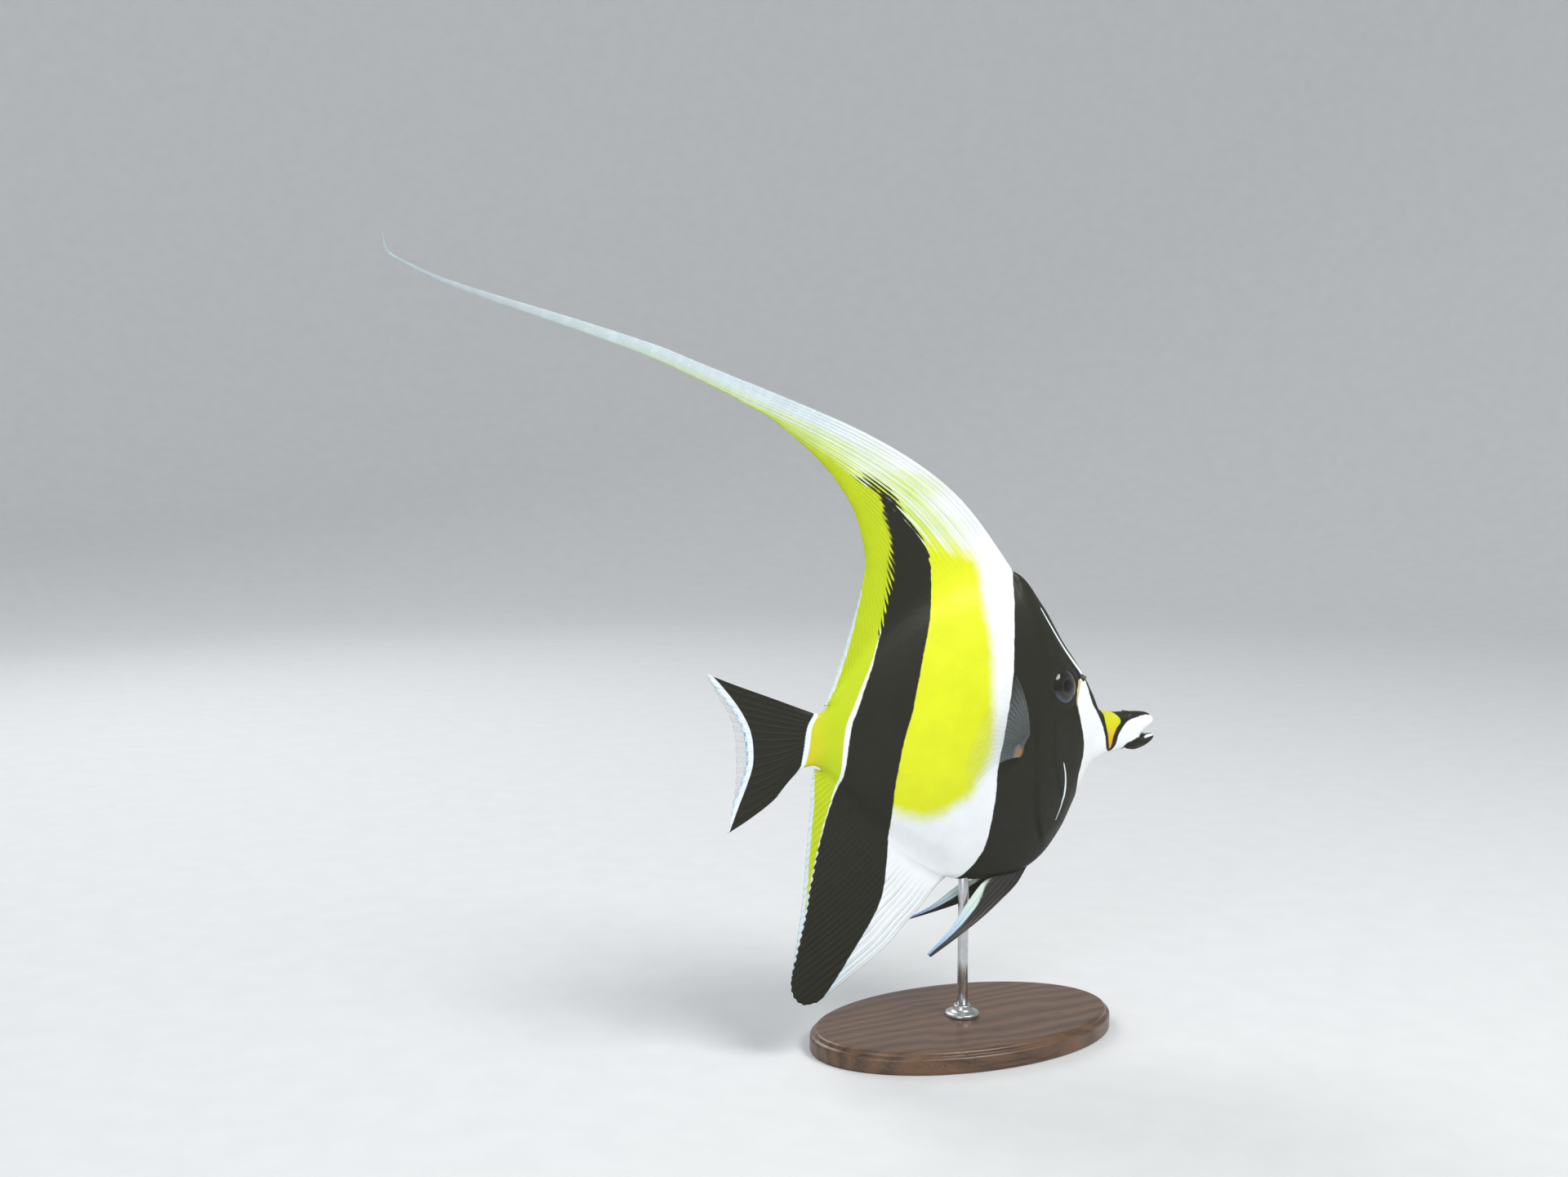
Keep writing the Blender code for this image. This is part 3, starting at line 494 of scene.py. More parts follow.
def makeSkin():
    # One closed sheet for all the flesh. The right half is a set of grids that share their border
    # points; the left half mirrors it, and both share every point of the middle plane.
    points, ray, reach, quads, triangles = [], [], [], [], []
    count = 0

    def addPoints(grid, rayValue, reachValue):
        nonlocal count
        points.append(grid.reshape(-1, 3))
        ray.append(np.broadcast_to(rayValue, grid.shape[:-1]).ravel())
        reach.append(np.broadcast_to(reachValue, grid.shape[:-1]).ravel())
        index = count + np.arange(grid[..., 0].size).reshape(grid.shape[:-1])
        count += index.size
        return index

    def addSheet(flat, thick, rayValue, reachValue, rimFrom=0):
        # grid whose end rays and free rim lie in the middle plane
        grid = np.stack([flat[..., 0], thick, flat[..., 1]], axis=-1)
        grid[[0, -1], :, 1] = 0
        grid[rimFrom:, -1, 1] = 0
        return addPoints(grid, rayValue, reachValue)

    # body
    tail = np.linspace(0, body["finEnd"], 7)[:-1]
    middle = np.linspace(body["finEnd"], body["dorsalFront"], body["finSteps"] + 1)
    headU = np.linspace(body["dorsalFront"], body["snoutRoot"], body["headSteps"] + 1)[1:]
    u = np.concatenate([tail, middle, headU])
    k = np.linspace(0, 1, body["rows"] + 1)
    t = 0.3 * (2 * k - 1) - 0.7 * np.cos(np.pi * k)
    u, t = np.broadcast_arrays(u[:, None], t[None])
    # closer rows at the height of the eye
    eyeX, eyeZ = headDetail["eye"]
    plain = bodyPoints(u, t)
    near = bell(plain[:, body["rows"] // 2, 0] - eyeX, 16.0)
    eyeT = np.array([np.interp(eyeZ, p[:, 2], q) for p, q in zip(plain, t)])[:, None]
    t = t - (0.42 * near)[:, None] * (t - eyeT) * bell(t - eyeT, 0.4) * (1 - t * t)
    flank = bodyPoints(u, t)
    height = (flank[:, -1:, 2] - flank[:, :1, 2]) / 2
    flank[..., 1] += headRelief(flank[..., 0], flank[..., 2]) * step((1 - np.abs(t)) * height, 0.3, 3.0)
    flank[:len(tail) + 1, [0, -1], 1] = 0
    flank[len(tail) + len(middle) - 1:, [0, -1], 1] = 0
    analStart = len(tail) + int(np.argmin(np.abs(middle - body["analFront"])))
    flank[analStart:, 0, 1] = 0
    bodyIndex = addPoints(flank, 0.0, 0.0)
    quads.append(gridQuads(bodyIndex))

    # upright fins
    def addUpright(coarse, base, margin, lead, rows, rays, freeFrom):
        steps = len(coarse) - 1
        share = np.linspace(0, 1, 3 * steps + 1)
        place = np.array(base)
        at = np.linspace(0, steps, 3 * steps + 1)
        base = np.stack([np.interp(at, np.arange(steps + 1), place[:, k]) for k in (0, 2, 1)], axis=1)
        v = np.concatenate([[0], finRows(rows)])
        flat = fanEdges(base[:, :2], margin, curvePoints([tuple(base[0, :2])] + lead[1:], v), v)
        number = share * rays
        vv = v[None]
        thick = finThickness(finForm, number[:, None], vv, np.maximum(base[:, 2:], 0.02))
        thick = roundRims(thick, flat, [(flat[0], 0.9), (flat[-1], 0.7), (flat[freeFrom:, -1], 0.6)])
        back = scallop(number, vv)
        back[:freeFrom] = 0
        way = flat[:, -1] - flat[:, -3]
        way /= np.linalg.norm(way, axis=1)[:, None]
        flat = flat - way[:, None] * back[..., None]
        return flat[:, 1:], thick[:, 1:], number, v[1:]

    top = slice(len(tail), len(tail) + body["finSteps"] + 1)
    d = dorsalFin
    coarse = bodyIndex[top, -1][::-1]
    columns = 3 * body["finSteps"]
    cut = d["streamerSteps"]
    share = np.arange(columns + 1)
    cutLine = np.array(d["lead"][-1]) + (np.array(d["margin"][0]) - d["lead"][-1]) * (share / cut)[:, None]
    rear = curvePoints(d["margin"], np.clip((share - cut) / (columns - cut), 0, 1))
    margin = np.where((share < cut)[:, None], cutLine, rear)
    flat, thick, number, v = addUpright(coarse, flank[top, -1][::-1], margin,
                                        d["lead"], d["rows"], d["rays"], cut)
    across = 1 - 2 * np.clip(share / cut, 0, 1)
    start = streamer["rows"][0][3] * np.sqrt(1 - across ** 2)
    toStreamer = np.where((share < cut)[:, None], step(v, 0.72, 1.0)[None], 0)
    thick = thick * (1 - toStreamer) + start[:, None] * toStreamer
    dorsalIndex = addSheet(flat, thick, number[:, None], v[None], cut)
    quads.append(gridQuads(dorsalIndex)[:, ::-1])
    triangles.append(zipper(coarse, dorsalIndex[:, 0]))

    # streamer
    s = streamer
    along = np.linspace(0, 1, s["steps"] + 1)[1:] ** 1.15 * (len(s["rows"]) - 1)
    row = smoothRows(s["rows"], along)
    run = (smoothRows(s["rows"], along + 0.02) - smoothRows(s["rows"], along - 0.02))[:, :2]
    run /= np.linalg.norm(run, axis=1)[:, None]
    sideways = np.stack([run[:, 1], -run[:, 0]], axis=1)
    across = np.linspace(1, -1, cut // 3 + 1)
    width = row[:, 2] * np.maximum(rounded(np.linspace(1, 0, s["steps"]), 0.02), 0.1)
    flat = row[:, None, :2] + sideways[:, None] * (width[:, None] * across)[..., None]
    thick = row[:, 3][:, None] * np.sqrt(1 - across ** 2)[None]
    thick *= 1 + 0.10 * np.cos(across * 5 * np.pi)[None] * step(along, 8, 0)[:, None]
    streamerIndex = addSheet(flat.transpose(1, 0, 2), thick.T, 3.9 * (1 - across)[:, None], 1 + along[None] / 8)
    quads.append(gridQuads(streamerIndex)[:, ::-1])
    triangles.append(zipper(streamerIndex[:, 0], dorsalIndex[:cut + 1, -1])[:, ::-1])

    # anal fin
    low = slice(len(tail), analStart + 1)
    coarse = bodyIndex[low, 0][::-1]
    a = analFin
    columns = 3 * (len(coarse) - 1)
    margin = curvePoints(a["margin"], np.linspace(0, 1, columns + 1))
    flat, thick, number, v = addUpright(coarse, flank[low, 0][::-1], margin, a["lead"], a["rows"], a["rays"], 0)
    analIndex = addSheet(flat, thick, number[:, None], v[None])
    quads.append(gridQuads(analIndex))
    triangles.append(zipper(coarse, analIndex[:, 0])[:, ::-1])

    # tail fin, on the body's first column
    f = tailFin
    base = flank[0][::-1]
    root = base[:, 1:2]
    share = (1 - t[0][::-1]) / 2
    v = finRows(f["rows"])
    margin = curvePoints(f["margin"], share)
    both = np.concatenate([[0], v])
    lead, last = curvePoints(f["top"], both), curvePoints(f["low"], both)
    flat = fourEdges(base[:, [0, 2]], margin, lead, last, share, both)
    number = share * f["rays"]
    thick = finThickness(finForm, number[:, None], both[None], root)
    thick = roundRims(thick, flat, [(flat[0], 0.9), (flat[-1], 0.9), (flat[:, -1], 0.5)])
    flat[..., 0] += scallop(number, both[None]) * step(share * (1 - share), 0, 0.04)[:, None]
    tailIndex = addSheet(flat[:, 1:], thick[:, 1:], number[:, None], v[None])
    quads.append(gridQuads(np.concatenate([bodyIndex[0][::-1][:, None], tailIndex], axis=1))[:, ::-1])

    # jaws: a height over their side view, full inside and round at the outline
    j = snoutTip
    t = t[-1]
    outline = np.where((t > -0.36)[:, None],
                       curvePoints(j["upper"], np.interp(-t, [-1, -0.25, 0.36], [0, 0.52, 1])),
                       curvePoints(j["lower"], np.interp(-t, [0.36, 0.66, 1], [0, 0.45, 1])))
    s = 1 - (1 - np.linspace(0, 1, j["steps"] + 1)[1:]) ** 1.7
    start = flank[-1]
    flat = start[:, None, [0, 2]] * (1 - s)[None, :, None] + outline[:, None] * s[None, :, None]
    closed = np.concatenate([curvePoints(j[name], np.linspace(0, 1, 90)) for name in ("upper", "lower")])
    away, _ = lineDistance(flat[..., 0], flat[..., 1], closed)
    full = np.interp(flat[..., 0], *np.array(j["thickness"]).T) * rounded(away, 3.3) ** 0.9
    lips = step(flat[..., 0], 145.5, 148.5)
    full += lips * (0.42 * bell(away - 1.3, 0.75) - 0.40 * bell(away - 2.9, 0.6)) * step(away, 0, 0.5)
    blend = step(s, 0.0, 0.45)[None]
    thick = start[:, 1][:, None] * (1 - blend) * (1 - s) ** 0.2 + full * blend
    jawIndex = addSheet(flat, thick, 0.0, 0.0)
    quads.append(gridQuads(np.concatenate([bodyIndex[-1][:, None], jawIndex], axis=1))[:, ::-1])

    # mirror
    right = np.concatenate(points) * (1, -1, 1)
    ray, reach = np.concatenate(ray), np.concatenate(reach)
    middlePlane = right[:, 1] == 0
    twin = np.where(middlePlane, np.arange(count), count + np.cumsum(~middlePlane) - 1)
    quads, triangles = np.concatenate(quads), np.concatenate(triangles)
    allPoints = np.concatenate([right, right[~middlePlane] * (1, -1, 1)])
    ray = np.concatenate([ray, ray[~middlePlane]])
    reach = np.concatenate([reach, reach[~middlePlane]])
    faces = [quads, twin[quads][:, ::-1], triangles, twin[triangles][:, ::-1]]
    sway = streamer["sway"] * np.clip(reach - 1, 0, 1) ** 2
    allPoints[:, 1] += sway
    return allPoints, faces, ray, reach


# The fish's markings

markings = {
    # borders in the side plane, from top to bottom
    "headBandRear": [(86.0, 59.5), (82.8, 45.6), (80.7, 30.8), (79.3, 18.8), (75.4, -2.3), (73.1, -14.5),
                     (72.8, -25.5), (72.0, -36.7), (70.6, -46.0), (66.9, -52.9), (61.5, -58.5)],
    "headBandFront": [(115.6, 16.6), (111.9, 14.6), (109.6, 10.1), (110.6, 2.3), (112.7, -5.8),
                      (113.3, -12.3), (112.2, -18.0), (111.2, -23.3), (112.4, -30.5)],
    "faceTop": 16.6,  # heights where the white face ends
    "faceLow": -30.5,
    "bodyBandFront": [(20.6, 96.4), (29.7, 91.1), (34.6, 87.6), (39.4, 79.6), (45.2, 73.4), (49.6, 64.8),
                      (50.5, 52.7), (49.0, 43.9), (45.1, 32.4), (40.8, 17.9), (38.3, 8.0), (35.4, -1.3),
                      (33.4, -11.9), (32.6, -22.8), (32.9, -36.0), (32.7, -48.0), (31.2, -60.0),
                      (27.4, -68.8), (18.9, -81.0), (10.5, -92.3), (3.6, -100.5)],
    "bodyBandRear": [(18.0, 96.4), (27.5, 89.3), (29.7, 85.0), (31.0, 80.2), (32.3, 74.6), (33.3, 72.9),
                     (33.8, 65.4), (32.8, 53.5), (28.8, 35.8), (25.6, 27.1), (21.6, 18.6), (17.9, 10.0),
                     (15.5, 4.2), (14.3, -3.8), (13.2, -14.0), (10.4, -22.5), (7.0, -32.1), (3.6, -44.6),
                     (1.2, -55.8), (-0.8, -66.5), (-3.5, -76.6), (-6.6, -88.5), (-7.4, -97.0)],
    "bandTop": 93.4,
    # heights from which the second band's borders are combed: behind, soft behind,
    # low behind, in front, at its tip
    "comb": {"rear": (30, 46), "soft": (48, 72), "low": (-34, -44), "front": (56, 74), "tip": (86, 93)},
    "headBandTop": 62.4,
    "whiteLine": (1.5, 25.0, 2.2),  # height of its widest place, its reach up and down, its width
    # height and width of the white rim behind the yellow strip
    "rim": [(-92, 0.4), (-80, 1.4), (-50, 1.7), (-18, 1.6), (-13, 0.7), (9, 0.4), (13, 1.2), (18, 1.7),
            (34, 1.5), (48, 0.7), (58, 0.0)],
    "stripTop": 116.0,
    "yellowFront": [(66.0, 78.0), (72.0, 70.0), (71.7, 64.0), (71.4, 56.9), (70.4, 43.6), (71.5, 32.8),
                    (70.9, 16.5), (71.1, 2.7), (70.0, -9.2), (64.7, -19.9), (58.0, -36.0), (48.0, -44.0)],
    "yellowLow": [(20.0, -28.5), (30.5, -27.2), (37.5, -30.4), (44.6, -32.3), (51.7, -31.1), (57.4, -27.2),
                  (63.1, -24.0)],
    "yellowTop": 67.5,
    "topSlope": 0.28,
    "fieldSoft": (5.5, 9.0, 8.0),  # how far its front, top and lower edges fade
    "stripSoft": 0.35,
    "saddle": [(125.4, 4.0), (128.6, 3.0), (133.6, -2.2), (131.3, -5.5), (129.6, -8.8), (129.1, -12.1),
               (128.2, -12.9), (127.1, -7.8), (126.0, -2.8)],
    "snoutDark": [(115.6, 16.6), (116.6, 12.9), (118.8, 5.4), (122.9, -0.9), (125.4, -7.5), (126.6, -12.6),
                  (128.4, -14.4), (131.0, -12.6), (132.7, -7.6), (136.4, -3.7), (140.1, -2.4),
                  (145.1, -1.7), (150.0, -1.9), (153.0, -3.2), (153.0, 6.0), (130.0, 6.0), (122.0, 24.0)],
    "jawDark": [(134.8, -14.3), (136.6, -12.2), (141.4, -10.3), (144.7, -9.85), (149.0, -9.2),
                (154.0, -9.2), (154.0, -18.0), (135.0, -18.0)],
    "tailStripe": [(3.2, 9.4), (0.2, 4.8), (-1.2, -3.0), (-2.6, -10.4)],
    "tailCrescent": [(-39.6, 27.4), (-33.4, 20.3), (-27.7, 12.6), (-23.9, 5.0), (-22.7, -2.5),
                     (-23.0, -8.4), (-25.4, -15.5), (-27.8, -21.3), (-31.6, -31.2)],
    "brow": [(112.4, 14.6), (111.0, 12.0), (109.9, 9.0), (109.8, 5.5), (110.2, 2.0)],
    # thin pale strokes: half width at the start, middle and end, then the line from top to bottom
    "strokes": [
        (0.28, 0.50, 0.75,
         [(95.6, 43.6), (101.0, 34.6), (105.2, 28.8), (109.6, 23.4), (113.4, 19.0), (115.6, 15.8)]),
        (0.20, 0.45, 0.10, [(102.2, -15.0), (103.5, -20.0), (103.9, -25.4), (103.2, -32.0), (101.0, -38.0)]),
        (0.30, 0.40, 0.30, [(151.3, -9.9), (150.0, -9.6), (148.2, -10.0), (146.6, -10.6)]),
        (0.75, 0.95, 0.75, "tailStripe"),
        (0.60, 0.35, 0.05, [(-2.2, -9.6), (-5.2, -12.8), (-9.0, -16.8), (-12.4, -20.2)]),
        (0.55, 1.25, 0.60, "tailCrescent")],
}


def aboveLine(x, z, line):
    line = np.array(line)
    return z - np.interp(x, line[:, 0], line[:, 1])


def paintStrokes(x, z):
    # nearest stroke: signed distance across it and its half width there, negative far away
    across, half, nearest = np.full(x.shape, 9.0), np.full(x.shape, -3.0), np.full(x.shape, 9.0)
    for first, middle, last, line in markings["strokes"]:
        line = markings[line] if isinstance(line, str) else line
        fine = fineLine(line, 12 * len(line))
        away, share = lineDistance(x, z, fine)
        side = np.sign(borderDistance(x, z, line) + 1e-9)
        width = np.interp(share, [0, 0.5, 1], [first, middle, last])
        past = np.maximum(z - fine[:, 1].max(), fine[:, 1].min() - z)
        width = width - 3 * step(away, 2.0, 4.0) - np.clip(past, 0, 3)
        closer = away < nearest
        nearest = np.where(closer, away, nearest)
        across = np.where(closer, away * side, across)
        half = np.where(closer, width, half)
    return across, half


def paintMarks(x, z, ray, reach):
    # Signed distances in millimetres, positive inside, for each colour; the finish turns
    # them into crisp borders. The yellow's are divided by how softly each border fades.
    m = markings
    headBand = np.minimum(borderDistance(x, z, m["headBandRear"]), m["headBandTop"] - z)
    inFront = borderDistance(x, z, m["headBandFront"])
    beyond = np.maximum(z - m["faceTop"], m["faceLow"] - z)
    headBand = np.minimum(headBand, np.maximum(-inFront, beyond))
    front = borderDistance(x, z, m["bodyBandFront"])
    rear = borderDistance(x, z, m["bodyBandRear"])
    # the second band has combed borders where it crosses the fins' rays
    at = {name: step(z, *heights) for name, heights in m["comb"].items()}
    toRear, toFront = np.abs(rear), np.abs(front)
    combRear = at["rear"] * (1 - 0.9 * at["soft"]) + 0.25 * at["low"]
    comb = np.where(toRear < toFront, combRear, 0.8 * at["front"])
    comb = comb * step(np.minimum(toRear, toFront), 4.0, 2.0)
    comb = comb + 0.5 * at["tip"] * step(toFront + toRear, 9.0, 4.0)
    # its rear border is soft high up
    bodyBand = np.minimum(np.minimum(-front, rear / (1 + 3 * step(z, 46, 76))), (m["bandTop"] - z) / 2)
    dark, saddle = (areaDistance(x, z, fineLine(m[name], 70)) for name in ("snoutDark", "saddle"))
    jaw = areaDistance(x, z, m["jawDark"])
    onTail = (x < 6) & (np.abs(z) < 33) & (reach <= 1)
    inTail = -borderDistance(x, z, m["tailStripe"])  # behind the white stripe at the fin's base
    behind = -borderDistance(x, z, m["tailCrescent"])
    tail = np.where(onTail & (x < 5), np.minimum(inTail, -behind), -9.0)
    dark = np.max([headBand, bodyBand, dark, jaw, tail], axis=0)

    rims = [dorsalFin["margin"], analFin["margin"][2:]]
    toRim = np.min([lineDistance(x, z, fineLine(line, 120))[0] for line in rims], axis=0)
    level, spread, width = m["whiteLine"]
    line = width * bell(z - level, spread) - 2.0 * step(z, 38, 46) - 0.2
    line = np.where(z < 20, np.maximum(line, 0.45 * step(z, -22, -30)), line)
    rim = np.interp(z, *np.array(m["rim"]).T)
    strip = np.minimum(-rear - line, toRim - rim) / m["stripSoft"]
    strip = np.min([strip, (z + 66) / 5, (m["stripTop"] - z) / 5], axis=0)
    strip = np.where(onTail, np.minimum(strip, -inTail / 0.3), strip)
    # the field's front and top edges meet in a round corner
    frontSoft, topSoft, lowSoft = m["fieldSoft"]
    ahead = -borderDistance(x, z, m["yellowFront"]) / frontSoft
    above = (m["yellowTop"] + m["topSlope"] * (58 - x) - z) / topSoft
    corner = 1 - np.hypot(np.clip(1 - ahead, 0, None), np.clip(1 - above, 0, None))
    field = np.min([corner, aboveLine(x, z, m["yellowLow"]) / lowSoft, front + 4], axis=0)
    # the strip ends in the rays that run into the streamer
    strip = np.minimum(strip, np.where(z > 90, (ray - 12.5) / 3.0, 9))
    yellow = np.maximum(strip, field)
    # greenish streaks run up along the rays from the field to the streamer's root
    tinge = step(front, 21.0, 1.0) * step(front, -6.0, 0.0) * step(z, 58, 68) * step(z, 112, 88)
    rootTinge = step(ray, 3.0, 8.0) * step(reach, 0.35, 0.7) * step(reach, 1.45, 1.0) * step(z, 88, 96)
    tinge = np.where(reach > 0, np.maximum(tinge, rootTinge), 0)
    across, half = paintStrokes(x, z)
    away, share = lineDistance(x, z, m["brow"])
    brow = np.interp(share, [0, 0.25, 1], [0.8, 0.8, 0.0]) - away
    return {"brow": brow, "dark": dark, "comb": comb, "yellow": yellow, "saddle": saddle, "across": across,
            "half": half, "tinge": tinge, "deep": np.where(rear < 0, 1.0, 0.0),
            "clear": np.where(onTail, behind - 1.4, -9.0), "ray": ray, "reach": reach}


skinLook = {
    "white": (0.87, 0.90, 0.92),
    "betweenRays": (0.36, 0.44, 0.50),
    "lemon": (0.74, 0.80, 0.016),
    "deepLemon": (0.52, 0.64, 0.010),  # behind the second band
    "egg": (0.62, 0.60, 0.016),  # the tail's root
    "strayLemon": (0.34, 0.42, 0.008),
    "tinge": (0.60, 0.76, 0.06),
    "streamer": (0.66, 0.76, 0.80),
    "black": (0.017, 0.017, 0.010),
    "saddleTop": (0.66, 0.66, 0.015),
    "saddleLow": (0.80, 0.42, 0.008),
    "stroke": (0.80, 0.87, 0.90),
    "strokeBlue": (0.16, 0.34, 0.72),  # the crescent's rear edge
    "brow": (0.62, 0.54, 0.26),
    "clearEdge": (0.56, 0.60, 0.62),
    "scaleSize": 0.75,  # millimetres
}


def skinFinish():
    look = skinLook
    f = Finish("fish skin")
    flat = f.stretched((1.0, 0.0, 1.0))
    ray, reach = f.mark("ray"), f.mark("reach")
    onFin = f.fade(reach, 0.03, 0.22)
    fromRay = f.calc("PINGPONG", ray, 0.5)
    ridge = f.fade(f.forked(ray, reach, 0.45, 0.19), 0.0, 0.17, 1.0, 0.0)
    wobble = f.calc("MULTIPLY_ADD", f.noise(flat, 320.0, 4.0), 0.8, -0.4)
    comb = f.times(f.fade(fromRay, 0.10, 0.42, -0.9, 0.9), f.mark("comb"))

    def inside(name, soft, extra=0.0):
        value = f.plus(f.mark(name), wobble)
        return f.fade(f.plus(value, extra), -soft, soft)

    # rays of uneven strength: broad white ones, thin grey lines between them
    gap = f.times(f.fade(fromRay, 0.33, 0.48), onFin)
    along = f.node("CombineXYZ", {0: f.times(ray, 1.1), 1: f.times(reach, 1.3)})
    streak = f.fade(f.noise(along, 2.0, 3.0), 0.36, 0.66, 0.05, 0.85)
    streak = f.times(streak, f.fade(reach, 1.35, 1.05, 0.15, 1.0))
    axes = f.node("SeparateXYZ", {0: f.place()}, 0)
    height = f.node("SeparateXYZ", {0: f.place()}, 2)
    wide = f.node("CombineXYZ", {0: f.times(ray, 0.55), 1: f.times(reach, 0.7)})
    lot = f.fade(f.noise(wide, 2.0, 2.0), 0.35, 0.62, 0.35, 1.0)
    tinged = f.times(f.mark("tinge"), lot)
    cool = f.fade(reach, 0.3, 1.0)
    colour = f.mix(cool, look["white"], look["streamer"])
    colour = f.mix(tinged, colour, look["tinge"])
    colour = f.mix(f.times(gap, streak), colour, look["betweenRays"])
    yellow = f.mix(f.mark("deep"), look["lemon"], look["deepLemon"])
    yellow = f.mix(f.times(gap, 0.4), yellow, look["strayLemon"])
    tailRoot = f.times(f.fade(axes, -0.0560, -0.0665), f.minus(1.0, onFin))
    yellow = f.mix(tailRoot, yellow, look["egg"])
    streaky = f.times(f.minus(lot, 0.65), onFin)
    streaky = f.plus(f.times(wobble, 0.6), f.times(streaky, 0.9))
    onYellow = f.fade(f.plus(f.mark("yellow"), streaky), -0.5, 0.5)
    colour = f.mix(onYellow, colour, yellow)
    onClear = f.fade(f.plus(f.mark("clear"), wobble), -0.2, 0.4)
    colour = f.mix(onClear, colour, look["clearEdge"])
    thread = f.node("CombineXYZ", {0: f.times(ray, 2.6), 1: f.times(reach, 1.6)})
    fray = f.times(f.fade(f.noise(thread, 2.0, 2.0), 0.3, 0.7, -0.5, 0.5), f.fade(f.mark("comb"), 0.2, 0.5))
    colour = f.mix(inside("dark", 0.22, f.plus(comb, fray)), colour, look["black"])
    saddle = f.mix(f.fade(height, 0.117, 0.110), look["saddleTop"], look["saddleLow"])
    colour = f.mix(inside("saddle", 0.25), colour, saddle)
    colour = f.mix(f.fade(f.mark("brow"), -0.2, 0.3), colour, look["brow"])
    # the crescent's rear edge is toothed along the rays and blue
    across = f.mark("across")
    teeth = f.times(f.fade(fromRay, 0.10, 0.42, -0.28, 0.28), f.times(f.fade(across, -0.3, -0.8), onFin))
    stroke = f.plus(f.minus(f.mark("half"), f.calc("ABSOLUTE", across)), teeth)
    strokeColour = f.mix(f.fade(across, -0.45, -1.3), look["stroke"], look["strokeBlue"])
    colour = f.mix(f.fade(stroke, -0.14, 0.14), colour, strokeColour)
    colour = f.tint(colour, 0.03, f.place(), 90.0)

    # small scales in rows on the body, none on the fins
    spot = f.node("TexVoronoi", {"Vector": flat, "Scale": 1000 / look["scaleSize"], "Randomness": 0.45})
    scales = f.times(f.fade(spot, 0.15, 0.62, 1.0, 0.0), f.minus(1.0, onFin))
    joints = f.times(f.fade(f.calc("SINE", f.times(reach, 190.0)), -1.0, -0.2), 0.25)
    rays = f.times(ridge, onFin, f.plus(joints, 0.75))
    normal = f.bump(scales, 0.35, 0.00006)
    normal = f.bump(rays, 0.9, 0.00014, normal)
    normal = f.bump(f.noise(f.place(), 160.0, 3.0), 0.10, 0.0004, normal)
    alpha = f.minus(1.0, f.times(onClear, f.fade(ridge, 0.0, 1.0, 0.78, 0.62)))
    rough = f.fade(f.noise(f.place(), 420.0, 2.0), 0.2, 0.8, 0.46, 0.60)
    f.set(colour=colour, roughness=rough, normal=normal, alpha=alpha, coat=0.08, coatRoughness=0.25, gleam=0.28)
    return f.material


skinMesh = makeSkin()
skin = makePiece("skin", skinMesh[0], skinMesh[1], skinFinish())
for name, values in paintMarks(skinMesh[0][:, 0], skinMesh[0][:, 2], skinMesh[2], skinMesh[3]).items():
    writeMark(skin, name, values)
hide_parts("head", "snout", "lower_jaw", "gill_cover_left", "gill_cover_right", "trunk", "peduncle",
            "dorsal_fin_front", "dorsal_fin_rear", "dorsal_filament_1", "dorsal_filament_2", "dorsal_filament_3",
            "anal_fin", "caudal_fin")
print("skin made and painted:", len(skin.data.polygons), "faces")


# Eyes

eye = {
    "radius": 8.0,
    "depth": 5.0,  # half of the flattened ball, from side to side
    "proud": 1.7,
    "pupil": 2.9,
    "sides": 96,
    "rings": 40,
}


def axesAt(normal):
    # forward, up and outward directions on the flank
    out = normal / np.linalg.norm(normal)
    forward = np.array([1.0, 0, 0]) - out * out[0]
    forward /= np.linalg.norm(forward)
    up = np.cross(out, forward)
    return forward, up * np.sign(up[2]), out


def eyeFinish():
    f = Finish("eye")
    away, along, up = f.mark("away"), f.mark("along"), f.mark("up")
    angle = f.calc("ARCTAN2", up, along)
    turned = f.node("CombineXYZ", {0: f.calc("SINE", angle), 1: f.calc("COSINE", angle),
                                   2: f.times(away, 0.06)})
    fine = f.noise(turned, 14.0, 4.0)
    iris = f.mix(f.fade(fine, 0.35, 0.65), (0.006, 0.005, 0.004), (0.018, 0.014, 0.009))
    rimAt = f.fade(f.plus(away, f.times(fine, 0.5)), 4.9, 5.7)
    low = f.fade(up, -1.0, -4.2)
    iris = f.mix(f.times(rimAt, low, 0.5), iris, (0.06, 0.09, 0.14))
    front = f.times(f.fade(along, 3.2, 4.8), f.fade(f.calc("ABSOLUTE", up), 4.2, 1.8))
    iris = f.mix(f.times(f.fade(away, 5.0, 5.5), front), iris, (0.55, 0.28, 0.02))
    ring = f.times(f.fade(f.calc("ABSOLUTE", f.minus(away, eye["pupil"] + 0.25)), 0.3, 0.1), 0.5)
    iris = f.mix(ring, iris, (0.07, 0.055, 0.03))
    colour = f.mix(f.fade(away, eye["pupil"] - 0.05, eye["pupil"] + 0.1), (0.002, 0.002, 0.003), iris)
    f.set(colour=colour, roughness=0.15, coat=0.6, coatRoughness=0.02, gleam=0.3)
    return f.material


